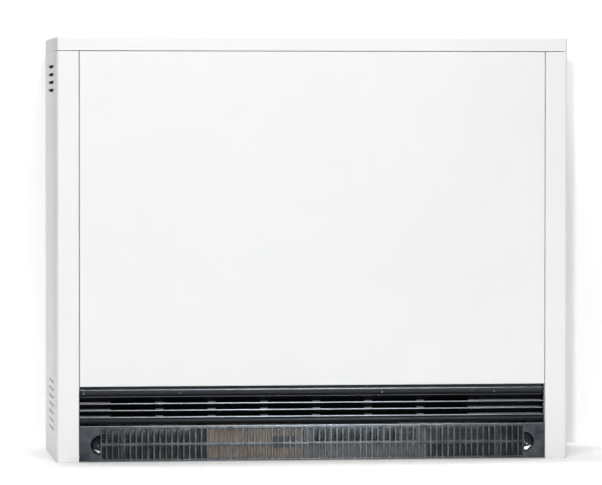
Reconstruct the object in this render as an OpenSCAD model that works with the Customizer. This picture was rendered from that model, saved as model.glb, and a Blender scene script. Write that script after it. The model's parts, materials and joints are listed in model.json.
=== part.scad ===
// Fan-assisted electric storage heater, floor standing, with a ceramic brick core.
// The origin is on the floor at the centre of the outline. The front faces -Y, and +X is to the right of it.

/* [Casing] */
// Width of the casing across its side panels
casing_w = 780; // [740:5:900]
// Height from the floor to the top of the lid
casing_h = 642; // [600:2:720]
// Depth of the casing without its wall spacers
casing_d = 250; // [240:2:300]
// Thickness of the painted casing sheet
sheet_t = 1.2; // [0.8:0.1:1.6]
// Height of the lid's skirt
lid_h = 21.5; // [16:0.5:30]
// Radius of the casing's outer edges
edge_r = 4; // [3:0.5:8]
// Width of the front strip of each side panel
strip_w = 33.6; // [26:0.2:44]
// Width of the seams round the front panel and under the lid
seam = 1; // [0.6:0.1:1.6]
// Depth of the folded returns behind the front
return_d = 14; // [12:0.5:16]
// Width of the folded flange at the back of each side panel
rear_flange_w = 15; // [12:0.5:20]
// Thickness of the plain inner sheets
inner_t = 1; // [0.8:0.1:1.5]

/* [Base and wall] */
// Thickness of the base pan's sheet
base_t = 1.5; // [1:0.1:2.5]
// Height of the base pan's upstands
base_rim_h = 20; // [12:1:24]
// Distance between the floor bolts across the width
floor_bolt_x = 680; // [640:5:690]
// Distance between the floor bolts along the depth
floor_bolt_y = 140; // [100:5:160]
// Radius of the floor bolt holes
floor_bolt_r = 4.5; // [3:0.5:6]
// Depth of the wall spacers
spacer_d = 25; // [20:1:40]
// Width of each wall spacer's channel
spacer_w = 40; // [30:1:50]
// Distance between the two wall screws
wall_screw_x = 500; // [400:10:540]
// Height of the wall screws above the floor
wall_screw_z = 540; // [500:5:560]
// Radius of the wall screw holes
wall_screw_r = 4.2; // [3:0.1:6]

/* [Side louvres] */
// Length of a louvre
louvre_len = 113; // [80:1:130]
// Height of a louvre's opening
louvre_h = 4.9; // [3:0.1:6]
// Distance from one louvre to the next
louvre_pitch = 12; // [11:0.5:13]
// Distance of the louvres from the front
louvre_setback = 64; // [50:1:90]
// Inward depth of a pressed louvre
louvre_depth = 5; // [3:0.5:6]
// Number of louvres at the top of a side
upper_louvres = 4; // [2:1:5]
// Number of louvres at the bottom of a side
lower_louvres = 7; // [3:1:8]
// Depth of the first upper louvre under the lid
upper_louvre_drop = 20; // [15:1:30]
// Height of the highest lower louvre above the floor
lower_louvre_z = 118; // [112:1:120]

/* [Inlet grille] */
// Height of the tilting inlet grille
inlet_h = 53; // [50:0.5:56]
// Clearance under the inlet grille
floor_gap = 1.5; // [1.5:0.1:2.5]
// Wall thickness of the inlet grille
inlet_wall = 2.5; // [2:0.1:3]
// Depth of the inlet grille's rim
inlet_rim_d = 10; // [9:0.5:11]
// Width of one upright slot
slot_w = 6.3; // [4:0.1:6.5]
// Width of the bar between two slots
slot_bar = 2.7; // [2:0.1:4]
// Width of the slotted field
slot_field_w = 648; // [560:1:648]
// Height of the border above the slots
slot_margin = 5; // [4:0.1:6]
// Height of the bar between the two rows of slots
mid_bar = 3.6; // [2:0.1:6]
// Radius of the half-moon finger recesses
recess_r = 14.7; // [12:0.1:15]
// Depth of the finger recesses
recess_d = 8; // [6:0.5:9]
// Radius of the inlet grille's hinge pins
hinge_pin_r = 1.75; // [1.25:0.05:2]
// Thickness of the fluff filter's frame
filter_t = 4; // [3:0.5:5]
// Width of the bars of the filter's frame
filter_bar = 2; // [1.5:0.1:3]

/* [Outlet grille] */
// Height of the outlet grille
outlet_h = 57; // [55:0.5:59]
// Setback of the outlet grille's lips from the front
outlet_recess = 6; // [5:0.5:8]
// Distance from one blade to the next
blade_pitch = 10.35; // [10:0.05:10.8]
// Depth of a blade from its lip to its rear edge
blade_depth = 17; // [12:0.5:19]
// Thickness of a blade
blade_t = 1; // [0.6:0.1:1.4]
// Height of the rounded lip of a blade
lip_h = 1.8; // [1.2:0.1:2.4]
// Length of one air slot in the baffle
air_slot_w = 70; // [50:1:74]
// Distance from one air slot to the next
air_slot_pitch = 80; // [76:1:84]
// Height of one air slot
air_slot_h = 6; // [4:0.5:7]
// Number of air slots in a row
air_slots = 7; // [4:1:7]
// Centre of the air slots, left of the casing's centre
duct_offset = 32.5; // [25:0.5:40]

/* [Core] */
// Width of the switch bay at the right
bay_w = 126; // [110:1:134]
// Thickness of the insulation at the sides of the core
side_board_t = 40; // [30:1:44]
// Thickness of the insulation behind the core
rear_board_t = 32; // [25:1:34]
// Thickness of the insulation in front of the core
front_board_t = 28; // [22:1:30]
// Thickness of the insulation on top of the core
top_board_t = 40; // [30:1:50]
// Thickness of the insulation under the core
base_board_t = 35; // [25:1:45]
// Air gap between the insulation and the casing
shell_gap = 9; // [8:0.5:11]
// Air gap between the top insulation and the lid
lid_gap = 21; // [15:1:30]
// Number of brick courses
courses = 6; // [6:2:6]
// Radius of a heating element's tube
element_r = 4.25; // [3:0.25:4.5]
// Radius of the bricks' grooves for the elements
groove_r = 5.5; // [5:0.25:7]
// Distance between the two legs of an element
element_span = 38; // [30:1:44]

/* [Fans] */
// Radius of a fan wheel
wheel_r = 32; // [26:0.5:33]
// Length of a fan wheel
wheel_len = 150; // [120:1:155]
// Height of the fan shaft above the floor
fan_z = 54; // [50:0.5:60]
// Distance from the motor's centre to each wheel
wheel_gap = 80; // [70:1:84]
// Position of the motor, left of the casing's centre
motor_offset = 86; // [80:1:92]
// Radius of the fan shaft
shaft_r = 3; // [2.5:0.1:4]
// Running clearance round the fan shaft
shaft_clear = 0.05; // [0.03:0.01:0.08]
// Number of blades on a fan wheel
wheel_blades = 20; // [12:1:24]

/* [Controls] */
// Height of the charge knob above the floor
knob_z = 525; // [515:1:530]
// Radius of the charge knob
knob_r = 15; // [12:0.5:17]
// Depth of the recess that holds the knob
knob_recess = 14; // [12:0.5:16]
// Radius of the cable grommet's bore
cable_r = 5.5; // [4:0.25:6.5]
// Height of the cable grommet above the floor
cable_z = 172; // [168:1:180]
// Travel of the cut-out's reset button
reset_travel = 2; // [1:0.5:2.5]

/* [Hidden] */
$fn = 48;

// Planes of the casing
half_w = casing_w / 2;
y_front = -(casing_d + spacer_d) / 2;
y_back = y_front + casing_d;
y_wall = y_back + spacer_d;
x_in = half_w - sheet_t;
lid_z = casing_h - lid_h;
panel_top = lid_z - seam;
strip_x = half_w - strip_w;
y_fold = y_front + return_d;
y_inner = y_fold + inner_t;
y_rear_in = y_back - 2 * sheet_t;
cover_half = strip_x - seam;
slip = 0.1;
run_gap = 0.4;
cut = 1;

// Heights of the two grilles, the front panel and the deck
inlet_top = floor_gap + inlet_h;
grille_seam = 1.2;
outlet_z = inlet_top + grille_seam;
outlet_top = outlet_z + outlet_h;
panel_z = outlet_top + grille_seam;
deck_t = 1.5;
deck_lift = 10;
deck_z = panel_z + deck_lift;
deck_top = deck_z + deck_t;

// Hinge of the inlet grille
inlet_setback = 1.5;
inlet_y = y_front + inlet_setback;
lug_r = 3.5;
lug_len = 10;
lug_end = 2;
hinge_lift = 6.5;
axis_y = inlet_y + lug_r;
axis_z = floor_gap + hinge_lift;
pin_fit = 0.02;
pin_over = 1;
base_setback = 9;
base_y = axis_y + base_setback;
rim_setback = 4;
side_clear = 0.4;
inlet_half = cover_half - side_clear + seam / 2;
slot_pitch = slot_w + slot_bar;
slot_count = floor((slot_field_w + slot_bar) / slot_pitch);
field_half = (slot_count * slot_pitch - slot_bar) / 2;
low_margin = 1.7;
slot_z = floor_gap + low_margin;
slot_row_h = (inlet_top - slot_margin - slot_z - mid_bar) / 2;
recess_gap = 1.6;
recess_x = field_half + recess_gap;
recess_lift = 24;
recess_z = floor_gap + recess_lift;
recess_wall = 1.2;
filter_y = inlet_y + inlet_wall;
filter_lap = 1.2;
filter_half = field_half + filter_lap;
filter_lift = 0.5;
filter_z = floor_gap + filter_lift;
filter_drop = 3.5;
filter_top = inlet_top - filter_drop;
net_t = 0.6;
catch_w = 12;
catch_t = 0.8;
catch_inset = 105.5;
catch_x = inlet_half - catch_inset;

// Outlet grille and the baffle behind it
outlet_y = y_front + outlet_recess;
outlet_wall = 1.2;
lip_drop = 4.5;
lip_z = outlet_top - lip_drop;
lip_d = 1.6;
rail_set = 3;
rail_d = rail_set + outlet_wall;
blade_gap = 0.65;
blade_drop = blade_pitch - lip_h / 2 - blade_gap;
blades = 5;
last_lip_z = lip_z - (blades - 1) * blade_pitch;
outlet_d = 21;
baffle_y = outlet_y + outlet_d;
baffle_back = baffle_y + inner_t;
baffle_clear = 1.4;
baffle_half = cover_half - baffle_clear;
air_slot_drop = 1.5;
screw_z = lip_z - blade_pitch / 2;
screw_inset = 6;
outlet_screw_xs = [-cover_half + screw_inset, -203, 106, 279];
screw_r = 1.7;
screw_head_r = 2.7;
screw_head_h = 1.8;
screw_over = 3;

// Outlet duct and mixing flap
duct_left = -duct_offset - air_slots * air_slot_pitch / 2;
duct_right = -duct_offset + air_slots * air_slot_pitch / 2;
duct_lift = 1.6;
duct_z = outlet_z + duct_lift;
duct_floor = duct_z + inner_t;
duct_d = 59;
duct_back = baffle_back + duct_d;
duct_end = 5;
duct_wall_y = duct_back - inner_t;
wing_half = 330;
window_sill = 9;
window_z = duct_z + window_sill;
window_h = 37;
window_lap = 8;
flap_rod_r = 2;
rod_over = 1.5;
flap_tube_r = 3.2;
flap_t = 1;
flap_over = 4;
flap_y = duct_wall_y - run_gap - flap_tube_r;
flap_drop = 14;
flap_z = deck_z - flap_drop;
flap_inset = 42;
flap_left = duct_left + flap_inset;
flap_right = duct_right - flap_inset;
down_setback = 34;
down_y = baffle_back + down_setback;
down_w = 26;

// Fans, the axis of the shaft and the planes of the housings
fan_setback = 72;
fan_y = duct_back + fan_setback;
motor_x = -motor_offset;
shroud_gap = 6;
shroud_t = 1;
shroud_r = wheel_r + shroud_gap;
plate_t = 1.2;
wheel_play = 1.8;
plate_near = wheel_gap - wheel_play - plate_t;
plate_far = wheel_gap + wheel_len + wheel_play;
neck_y = fan_y + shroud_r / 2;
riser_half = (shroud_r / 2 - shroud_t) / 2;
riser_y = neck_y + shroud_t + riser_half;
bush_wall = 3;
bush_r = shaft_r + bush_wall;
bush_lip = 2;
bush_flange_r = bush_r + bush_lip;
bush_flange_t = 2;
bush_out = 4;
bush_in = 1.5;
bush_fit = 0.05;
shaft_over = 8;
rotor_r = 14.5;
rotor_gap = 0.5;
stator_half = 32;
stator_len = 32;
bracket_t = 1.5;
bracket_w = 6;
bracket_foot = 14;
coil_w = 44;
coil_d = 22;
coil_h = 40;
coil_r = 5;

// Plates seen through the slots of the inlet grille
board_clear = 2;
board_y = baffle_back + board_clear;
phenolic_half = 73.5;
phenolic_t = 2;
phenolic_foot = 12;
guide_w = 190;
guide_h = 44;
guide_foot = 10;
guide_gap = 1.5;
strut_x = 287;
strut_w = 6;
strut_t = 1.5;
strut_foot = 22;
strut_setback = 5;

// Core, from the deck up
core_left = -x_in + shell_gap;
rear_gap = shell_gap - 3;
bay_x = x_in - bay_w;
plate_x = bay_x - inner_t;
brick_left = core_left + side_board_t;
brick_right = plate_x - side_board_t;
brick_front = y_inner + front_board_t;
core_back = y_rear_in - rear_gap;
brick_back = core_back - rear_board_t;
brick_z = deck_top + base_board_t + deck_t;
core_top = panel_top - lid_gap - top_board_t;
brick_h = (core_top - brick_z) / courses;
bricks_wide = 2;
brick_w = (brick_right - brick_left) / bricks_wide;
brick_joint = 0.3;
channels = 3;
channel_w = brick_w / channels * 0.6;
channel_d = 14;
port_left = 30;
port_right = 20;
plenum_d = 14;
plenum_edge = 5;
element_y = (brick_front + brick_back) / 2;
element_inset = 40;
element_bend_x = brick_left + element_inset;
element_out = 20;
element_end = bay_x + element_out;
element_levels = [1, 3, 5];
element_fit = 0.05;
sleeve_r = 7;
sleeve_flange_r = 9;
sleeve_flange_t = 3;
sleeve_out = 4;
sensor_level = 3;
sensor_z = brick_z + (sensor_level + 0.5) * brick_h;
sensor_r = 3;
sensor_len = 100;
sensor_tip = brick_right - sensor_len;
sensor_head_r = 8;
sensor_head_t = 8;

// Switch bay
box_offset = 44;
box_y = element_y + box_offset;
box_clear = 4;
box_w = core_back - box_y - box_clear;
box_d = 40;
box_wall = 2;
box_below = 55;
box_above = 60;
knob_y = box_y + box_w / 2;
finger_room = 8;
bezel_r = knob_r + finger_room;
bezel_wall = 2;
bezel_lip = 4;
bezel_lip_t = 1.5;
knob_gap = 0.6;
knob_inset = 0.5;
knob_skirt = 1;
grip_half = 3.5;
knob_shaft_r = 3;
shaft_fit = 0.02;
shaft_in = 12;
shaft_grip = 3;
cam_r = 7;
cam_t = 6;
board_gap = 5;
board_x = bay_x + board_gap;
board_t = 1.6;
board_drop = 200;
board_z = knob_z - board_drop;
board_h = 125;
post_r = 3;
post_inset = 6;
relay_size = [18, 16, 28];
relay_pitch = 36;
relay_low = 12;
relay_side = 8;
block_d = 21;
block_h = 25;
block_z = cable_z - block_h / 2;
block_ways = 5;
block_screw_r = 2.2;
block_wire_r = 2.5;
block_hole = 8;
cutout_setback = 45;
cutout_y = y_inner + cutout_setback;
cutout_drop = 90;
cutout_z = knob_z - cutout_drop;
cutout_r = 12;
cutout_d = 12;
cutout_seat = 3;
collar_r = 5;
collar_d = 6;
button_r = 2.5;
button_over = 0.5;
stud_r = 3;
stud_len = 18;
nut_r = 6;
nut_t = 5;
stud_offset = 20;
cable_offset = 60;
cable_x = bay_x + cable_offset;
grommet_wall = 3;
grommet_lip = 3;
loom_r = 2.5;
loom_x = element_end + loom_r;
loom_drop = 16;

// Louvres, screws and plates that several pieces share
louvre_y = y_front + louvre_setback;
upper_z = panel_top - upper_louvre_drop;
louvre_tops = [
    for (i = [0 : upper_louvres - 1]) upper_z - i * louvre_pitch,
    for (i = [0 : lower_louvres - 1]) lower_louvre_z - i * louvre_pitch];
screw_levels = [0.1, 0.36, 0.64, 0.9];
flange_x = half_w - rear_flange_w / 2;
lid_rail_x = x_in - sheet_t;
lid_screw_x = lid_rail_x - screw_inset;
lid_screw_z = lid_z + lid_h / 2;
lid_rail_end = y_rear_in - 2;
scoop_t = 0.8;
clip_w = 18;
clip_h = 10;

// A box between its lowest and its highest corner
module block(lo, hi) {
    translate(lo) cube(hi - lo);
}

// Round bars along each axis
module rod_x(x0, x1, y, z, r) {
    translate([x0, y, z]) rotate([0, 90, 0]) cylinder(h = x1 - x0, r = r);
}
module rod_y(y0, y1, x, z, r) {
    translate([x, y0, z]) rotate([-90, 0, 0]) cylinder(h = y1 - y0, r = r);
}
module rod_z(z0, z1, x, y, r) {
    translate([x, y, z0]) cylinder(h = z1 - z0, r = r);
}

// An outline drawn in Y and Z, carried from one X to another
module along_x(x0, x1) {
    translate([x0, 0, 0]) rotate([90, 0, 90]) linear_extrude(x1 - x0) children();
}
// An outline drawn in X and Z, carried from one Y to another
module along_y(y0, y1) {
    translate([0, y1, 0]) rotate([90, 0, 0]) linear_extrude(y1 - y0) children();
}
// The same thing on the right and, mirrored, on the left
module both_sides() {
    children();
    mirror([1, 0, 0]) children();
}
// A pan-head screw that enters along +Y from its seat
module pan_screw(x, z, y_seat, len) {
    rod_y(y_seat - screw_head_h, y_seat, x, z, screw_head_r);
    rod_y(y_seat, y_seat + len, x, z, screw_r);
}

// Casing sheets

module louvre_opening(z_top) {
    block([x_in - cut, louvre_y, z_top - louvre_h], [half_w + cut, louvre_y + louvre_len, z_top]);
}
// The pressed scoop behind one opening, with its two closed ends
module louvre_scoop(z_top) {
    z_low = z_top - louvre_h;
    x_deep = x_in - louvre_depth;
    x_root = x_in + sheet_t / 2;
    along_y(louvre_y, louvre_y + louvre_len)
        polygon([[x_root, z_low - scoop_t], [x_root, z_low], [x_in, z_low], [x_deep, z_top],
                 [x_deep, z_top - scoop_t]]);
    for (y = [louvre_y - scoop_t, louvre_y + louvre_len])
        along_y(y, y + scoop_t)
            polygon([[x_root, z_low - scoop_t], [x_root, z_top], [x_in, z_top], [x_deep, z_top],
                     [x_deep, z_top - scoop_t]]);
}
module side_outline() {
    translate([x_in, y_front + edge_r]) square([sheet_t, casing_d - edge_r]);
    translate([strip_x, y_front]) square([strip_w - edge_r, sheet_t]);
    translate([strip_x, y_front]) square([sheet_t, return_d]);
    translate([half_w - rear_flange_w, y_rear_in]) square([rear_flange_w, sheet_t]);
    translate([half_w - edge_r, y_front + edge_r]) intersection() {
        difference() {
            circle(edge_r);
            circle(edge_r - sheet_t);
        }
        translate([0, -edge_r]) square(edge_r);
    }
}

module side_panel() {
    difference() {
        union() {
            linear_extrude(panel_top) side_outline();
            for (z = louvre_tops) louvre_scoop(z);
        }
        for (z = louvre_tops) louvre_opening(z);
        for (s = screw_levels) rod_y(y_rear_in - cut, y_back, flange_x, s * panel_top, screw_r + slip);
        rod_x(strip_x - cut, strip_x + sheet_t + cut, axis_y, axis_z, hinge_pin_r + slip);
    }
}
module right_side_panel() {
    color("white") difference() {
        side_panel();
        rod_x(x_in - cut, half_w + cut, knob_y, knob_z, bezel_r + slip);
    }
}
module left_side_panel() {
    color("white") mirror([1, 0, 0]) side_panel();
}
module base_pan() {
    rim_y = base_y + rim_setback;
    rim_half = half_w - rear_flange_w - slip;
    color("silver") difference() {
        union() {
            block([-x_in, base_y, 0], [x_in, y_rear_in, base_t]);
            block([-rim_half, y_rear_in - base_t, 0], [rim_half, y_rear_in, base_rim_h]);
            both_sides() block([x_in - base_t, rim_y, 0], [x_in, y_rear_in, base_rim_h]);
        }
        both_sides() for (y = [-floor_bolt_y / 2, floor_bolt_y / 2])
            rod_z(-cut, base_t + cut, floor_bolt_x / 2, y, floor_bolt_r);
    }
}
module rear_wall() {
    color("gainsboro") difference() {
        block([-x_in, y_back - sheet_t, 0], [x_in, y_back, panel_top]);
        both_sides() for (s = screw_levels)
            rod_y(y_back - sheet_t - cut, y_back + cut, flange_x, s * panel_top, screw_r + slip);
        rod_y(y_back - sheet_t - cut, y_back + cut, cable_x, cable_z, cable_r + grommet_wall);
    }
}
// A square with round corners, made of true arcs
module round_square(lo, hi, r) {
    translate([lo[0] + r, lo[1]]) square([hi[0] - lo[0] - 2 * r, hi[1] - lo[1]]);
    translate([lo[0], lo[1] + r]) square([hi[0] - lo[0], hi[1] - lo[1] - 2 * r]);
    for (x = [lo[0] + r, hi[0] - r])
        for (y = [lo[1] + r, hi[1] - r])
            translate([x, y]) circle(r);
}
// The lid's outer form, drawn in by a distance
module lid_form(inset) {
    r = edge_r - inset;
    w = half_w - inset;
    low = lid_z - 3 * edge_r;
    top = casing_h - inset;
    intersection() {
        along_y(y_front + inset, y_back - inset) round_square([-w, low], [w, top], r);
        along_x(-w, w) round_square([y_front + inset, low], [y_back - inset, top], r);
        translate([0, 0, lid_z - (inset > 0 ? cut : 0)]) linear_extrude(casing_h)
            round_square([-w, y_front + inset], [w, y_back - inset], r);
    }
}
module top_cover() {
    color("white") difference() {
        lid_form(0);
        lid_form(sheet_t);
        both_sides() rod_y(y_back - sheet_t - cut, y_back + cut, lid_screw_x, lid_screw_z, screw_r + slip);
    }
}

// Rails on the side panels that carry the lid
module lid_rails() {
    rail_w = 20;
    rail_low = panel_top - 14;
    rail_top = casing_h - sheet_t;
    rail_y = y_fold + edge_r;
    tab_y = lid_rail_end - sheet_t;
    bend = sheet_t / 2;
    color("silver") both_sides() difference() {
        union() {
            along_y(rail_y, lid_rail_end)
                polygon([[x_in, rail_low], [x_in, rail_top - edge_r], [x_in - edge_r, rail_top],
                         [lid_rail_x - rail_w, rail_top], [lid_rail_x - rail_w, rail_top - sheet_t],
                         [x_in - edge_r - bend, rail_top - sheet_t],
                         [lid_rail_x, rail_top - edge_r - bend], [lid_rail_x, rail_low]]);
            block([lid_screw_x - screw_inset, tab_y, lid_z], [lid_rail_x, lid_rail_end, rail_top - edge_r]);
        }
        rod_y(tab_y - cut, lid_rail_end + cut, lid_screw_x, lid_screw_z, screw_r + slip);
    }
}
module front_panel() {
    color("white") difference() {
        block([-cover_half, y_front, panel_z], [cover_half, y_fold, panel_top]);
        block([-cover_half + sheet_t, y_front + sheet_t, panel_z + sheet_t],
              [cover_half - sheet_t, y_fold + cut, panel_top - sheet_t]);
    }
}
module inner_front_panel() {
    color("silver") block([-x_in, y_fold, panel_z], [x_in, y_inner, core_top + top_board_t]);
}
// Spring clips that hold the front panel to the inner one
module panel_clips() {
    color("gray") for (x = [-0.8, 0, 0.8])
        for (s = [0.12, 0.9]) {
            xc = x * cover_half;
            zc = panel_z + s * (panel_top - panel_z);
            translate([xc - clip_w / 2, 0, zc]) {
                block([0, y_front + sheet_t, 0], [clip_w, y_front + sheet_t + inner_t, clip_h]);
                block([0, y_front + sheet_t, 0], [clip_w, y_fold, inner_t]);
                block([0, y_fold - inner_t, -clip_h], [clip_w, y_fold, inner_t]);
            }
        }
}
module wall_spacers() {
    z_low = 60;
    z_high = wall_screw_z + 30;
    flange = 12;
    color("silver") both_sides() translate([wall_screw_x / 2, 0, 0]) difference() {
        union() {
            block([-spacer_w / 2, y_wall - base_t, z_low], [spacer_w / 2, y_wall, z_high]);
            for (x = [-spacer_w / 2, spacer_w / 2 - base_t])
                block([x, y_back, z_low], [x + base_t, y_wall, z_high]);
            for (x = [-spacer_w / 2 - flange, spacer_w / 2 - base_t])
                block([x, y_back, z_low], [x + flange + base_t, y_back + base_t, z_high]);
        }
        rod_y(y_wall - base_t - cut, y_wall + cut, 0, wall_screw_z, wall_screw_r);
    }
}

// Openings that the air takes up to the core and down from it
module air_ports(z0, z1) {
    translate([motor_x, 0, 0]) both_sides()
        block([plate_near + plate_t, riser_y - riser_half, z0], [plate_far, riser_y + riser_half, z1]);
    block([brick_left + port_left, down_y - down_w / 2, z0],
          [brick_right - port_right, down_y + down_w / 2, z1]);
}
module deck_plate() {
    color("silver") difference() {
        block([-x_in, y_inner, deck_z], [x_in, y_rear_in, deck_top]);
        air_ports(deck_z - cut, deck_top + cut);
    }
}
module bay_plate() {
    color("silver") difference() {
        block([plate_x, y_inner, deck_top], [bay_x, core_back, core_top + top_board_t]);
        sleeve_holes(plate_x - cut, bay_x + cut);
        rod_x(plate_x - cut, bay_x + cut, element_y, sensor_z, sensor_r + slip);
    }
}

// Air outlet

function lip_height(k) = lip_z - k * blade_pitch;

module lip_outline(k, depth) {
    translate([outlet_y + lip_h / 2, lip_height(k)]) circle(lip_h / 2);
    translate([outlet_y + lip_h / 2, lip_height(k) - lip_h / 2]) square([depth - lip_h / 2, lip_h]);
}
// One blade, falling away to the rear below its lip
module blade_outline(k) {
    z = lip_height(k);
    lip_outline(k, lip_d);
    polygon([[outlet_y + lip_h / 2, z], [outlet_y + lip_d, z + lip_h / 4],
             [outlet_y + blade_depth, z - blade_drop + blade_t],
             [outlet_y + blade_depth, z - blade_drop], [outlet_y + lip_h / 2, z - lip_h / 2]]);
}
module end_outline() {
    front = [for (k = [0 : blades - 1]) each [
        [outlet_y + lip_h / 2, lip_height(k) + lip_h / 2],
        [outlet_y + lip_h / 2, lip_height(k) - lip_h / 2],
        [outlet_y + (k == 0 || k == blades - 1 ? rail_set : blade_depth), lip_height(k) - blade_drop]]];
    polygon(concat(front, [[outlet_y + rail_set, outlet_z], [baffle_y, outlet_z],
                           [baffle_y, lip_z + lip_h / 2]]));
}
module outlet_grille() {
    color("dimgray") difference() {
        union() {
            along_x(-inlet_half, inlet_half) {
                lip_outline(0, rail_d);
                translate([outlet_y + rail_set, lip_height(1)]) square([rail_d - rail_set, blade_pitch]);
                lip_outline(1, rail_d);
                for (k = [1 : blades - 2]) blade_outline(k);
                lip_outline(blades - 1, rail_d);
                translate([outlet_y + rail_set, outlet_z])
                    square([rail_d - rail_set, last_lip_z - outlet_z]);
                translate([outlet_y + rail_set, outlet_z])
                    square([baffle_y - outlet_y - rail_set, outlet_wall]);
            }
            both_sides() along_x(inlet_half - outlet_wall, inlet_half) end_outline();
        }
        for (x = outlet_screw_xs) rod_y(outlet_y, baffle_y, x, screw_z, screw_r + slip);
    }
}
module outlet_baffle() {
    color("dimgray") difference() {
        block([-baffle_half, baffle_y, outlet_z], [baffle_half, baffle_back, deck_z]);
        for (k = [2 : blades - 1])
            for (i = [0 : air_slots - 1]) {
                xc = duct_left + (i + 0.5) * air_slot_pitch;
                zc = lip_height(k) - air_slot_drop;
                along_y(baffle_y - cut, baffle_back + cut)
                    round_square([xc - air_slot_w / 2, zc - air_slot_h / 2],
                                 [xc + air_slot_w / 2, zc + air_slot_h / 2], air_slot_h / 2 - 0.01);
            }
        for (x = outlet_screw_xs) rod_y(baffle_y - cut, baffle_back + cut, x, screw_z, screw_r + slip);
    }
}
// The duct's floor, on two struts that stand on the base pan
module duct_tray() {
    y = baffle_back + strut_setback;
    x0 = strut_x - strut_w / 2;
    x1 = strut_x + strut_w / 2;
    color("silver") {
        block([-wing_half, baffle_back, duct_z], [wing_half, duct_back, duct_floor]);
        both_sides() {
            block([x0, y, base_t], [x1, y + strut_t, duct_z]);
            block([x0, y, base_t], [x1, y + strut_foot, base_t + strut_t]);
        }
    }
}
module outlet_duct() {
    x0 = duct_left - duct_end;
    x1 = duct_right + duct_end;
    color("silver") difference() {
        union() {
            block([x0, duct_wall_y, duct_floor], [x1, duct_back, deck_z]);
            for (x = [x0, x1 - inner_t])
                block([x, baffle_back, duct_floor], [x + inner_t, duct_back, deck_z]);
        }
        block([flap_left + window_lap, duct_wall_y - cut, window_z],
              [flap_right - window_lap, duct_back + cut, window_z + window_h]);
        rod_x(x0 - cut, x1 + cut, flap_y, flap_z, flap_rod_r + shaft_clear);
    }
}
module mixing_flap() {
    color("lightgray") difference() {
        union() {
            rod_x(flap_left, flap_right, flap_y, flap_z, flap_tube_r);
            block([flap_left, flap_y + flap_tube_r - flap_t, window_z - flap_over],
                  [flap_right, flap_y + flap_tube_r, flap_z]);
        }
        rod_x(flap_left - cut, flap_right + cut, flap_y, flap_z, flap_rod_r + shaft_fit);
    }
}
module flap_rod() {
    over = duct_end + rod_over;
    color("silver") rod_x(duct_left - over, duct_right + over, flap_y, flap_z, flap_rod_r);
}
// A bimetal strip that leans on the back of the flap
module bimetal_strip() {
    half = 9;
    bimetal_t = 0.8;
    tip_gap = 0.3;
    z_low = duct_floor;
    z_tip = window_z + 16;
    x_mid = (flap_left + flap_right) / 2;
    color("goldenrod") {
        block([x_mid - half, duct_back, z_low], [x_mid + half, duct_back + bimetal_t, z_tip]);
        block([x_mid - half, flap_y + flap_tube_r + tip_gap, z_tip - bimetal_t],
              [x_mid + half, duct_back + bimetal_t, z_tip]);
    }
}
module outlet_screws() {
    color("black") for (x = outlet_screw_xs)
        pan_screw(x, screw_z, outlet_y + rail_set, baffle_back - outlet_y - rail_set + screw_over);
}
module casing_screws() {
    color("silver") both_sides() {
        for (s = screw_levels)
            mirror([0, 1, 0]) pan_screw(flange_x, s * panel_top, -y_back, 2 * sheet_t + screw_over);
        mirror([0, 1, 0])
            pan_screw(lid_screw_x, lid_screw_z, -y_back, y_back - lid_rail_end + sheet_t + screw_over);
    }
}

// Air inlet

// Half a disc, its flat side towards the slots
module half_moon(r) {
    intersection() {
        translate([recess_x, recess_z]) circle(r);
        translate([recess_x, recess_z - r]) square([r, 2 * r]);
    }
}
module inlet_face() {
    difference() {
        translate([-inlet_half, floor_gap]) square([2 * inlet_half, inlet_h]);
        for (i = [0 : slot_count - 1])
            for (j = [0, 1])
                translate([-field_half + i * slot_pitch, slot_z + j * (slot_row_h + mid_bar)])
                    square([slot_w, slot_row_h]);
        both_sides() half_moon(recess_r);
    }
}
module inlet_grille() {
    rim_y = inlet_y + inlet_rim_d;
    cup_y = inlet_y + recess_d;
    color("slategray") difference() {
        union() {
            along_y(inlet_y, inlet_y + inlet_wall) inlet_face();
            block([-inlet_half, inlet_y, inlet_top - inlet_wall], [inlet_half, rim_y, inlet_top]);
            both_sides() {
                block([inlet_half - inlet_wall, inlet_y, axis_z], [inlet_half, rim_y, inlet_top]);
                rod_x(inlet_half - lug_len, inlet_half, axis_y, axis_z, lug_r);
                along_y(inlet_y + inlet_wall, cup_y + recess_wall) difference() {
                    half_moon(recess_r + recess_wall);
                    half_moon(recess_r);
                }
                along_y(cup_y, cup_y + recess_wall) half_moon(recess_r + recess_wall / 2);
            }
        }
        both_sides()
            rod_x(inlet_half - lug_len + lug_end, inlet_half + cut, axis_y, axis_z, hinge_pin_r + pin_fit);
    }
}
module hinge_pins() {
    color("silver") both_sides()
        rod_x(inlet_half - lug_len + lug_end, strip_x + sheet_t + pin_over, axis_y, axis_z, hinge_pin_r);
}
// Spring catches behind the top rim of the tilting grille
module grille_catches() {
    gap = 0.3;
    reach = 8;
    foot = 6;
    y = inlet_y + inlet_rim_d + gap;
    color("silver") both_sides() {
        block([catch_x, y, outlet_z - reach], [catch_x + catch_w, y + catch_t, outlet_z]);
        block([catch_x, y, outlet_z - catch_t], [catch_x + catch_w, y + foot, outlet_z]);
    }
}
module filter_frame() {
    color("black") along_y(filter_y, filter_y + filter_t) difference() {
        translate([-filter_half, filter_z]) square([2 * filter_half, filter_top - filter_z]);
        translate([-filter_half + filter_bar, filter_z + filter_bar])
            square([2 * (filter_half - filter_bar), filter_top - filter_z - 2 * filter_bar]);
    }
}
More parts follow.
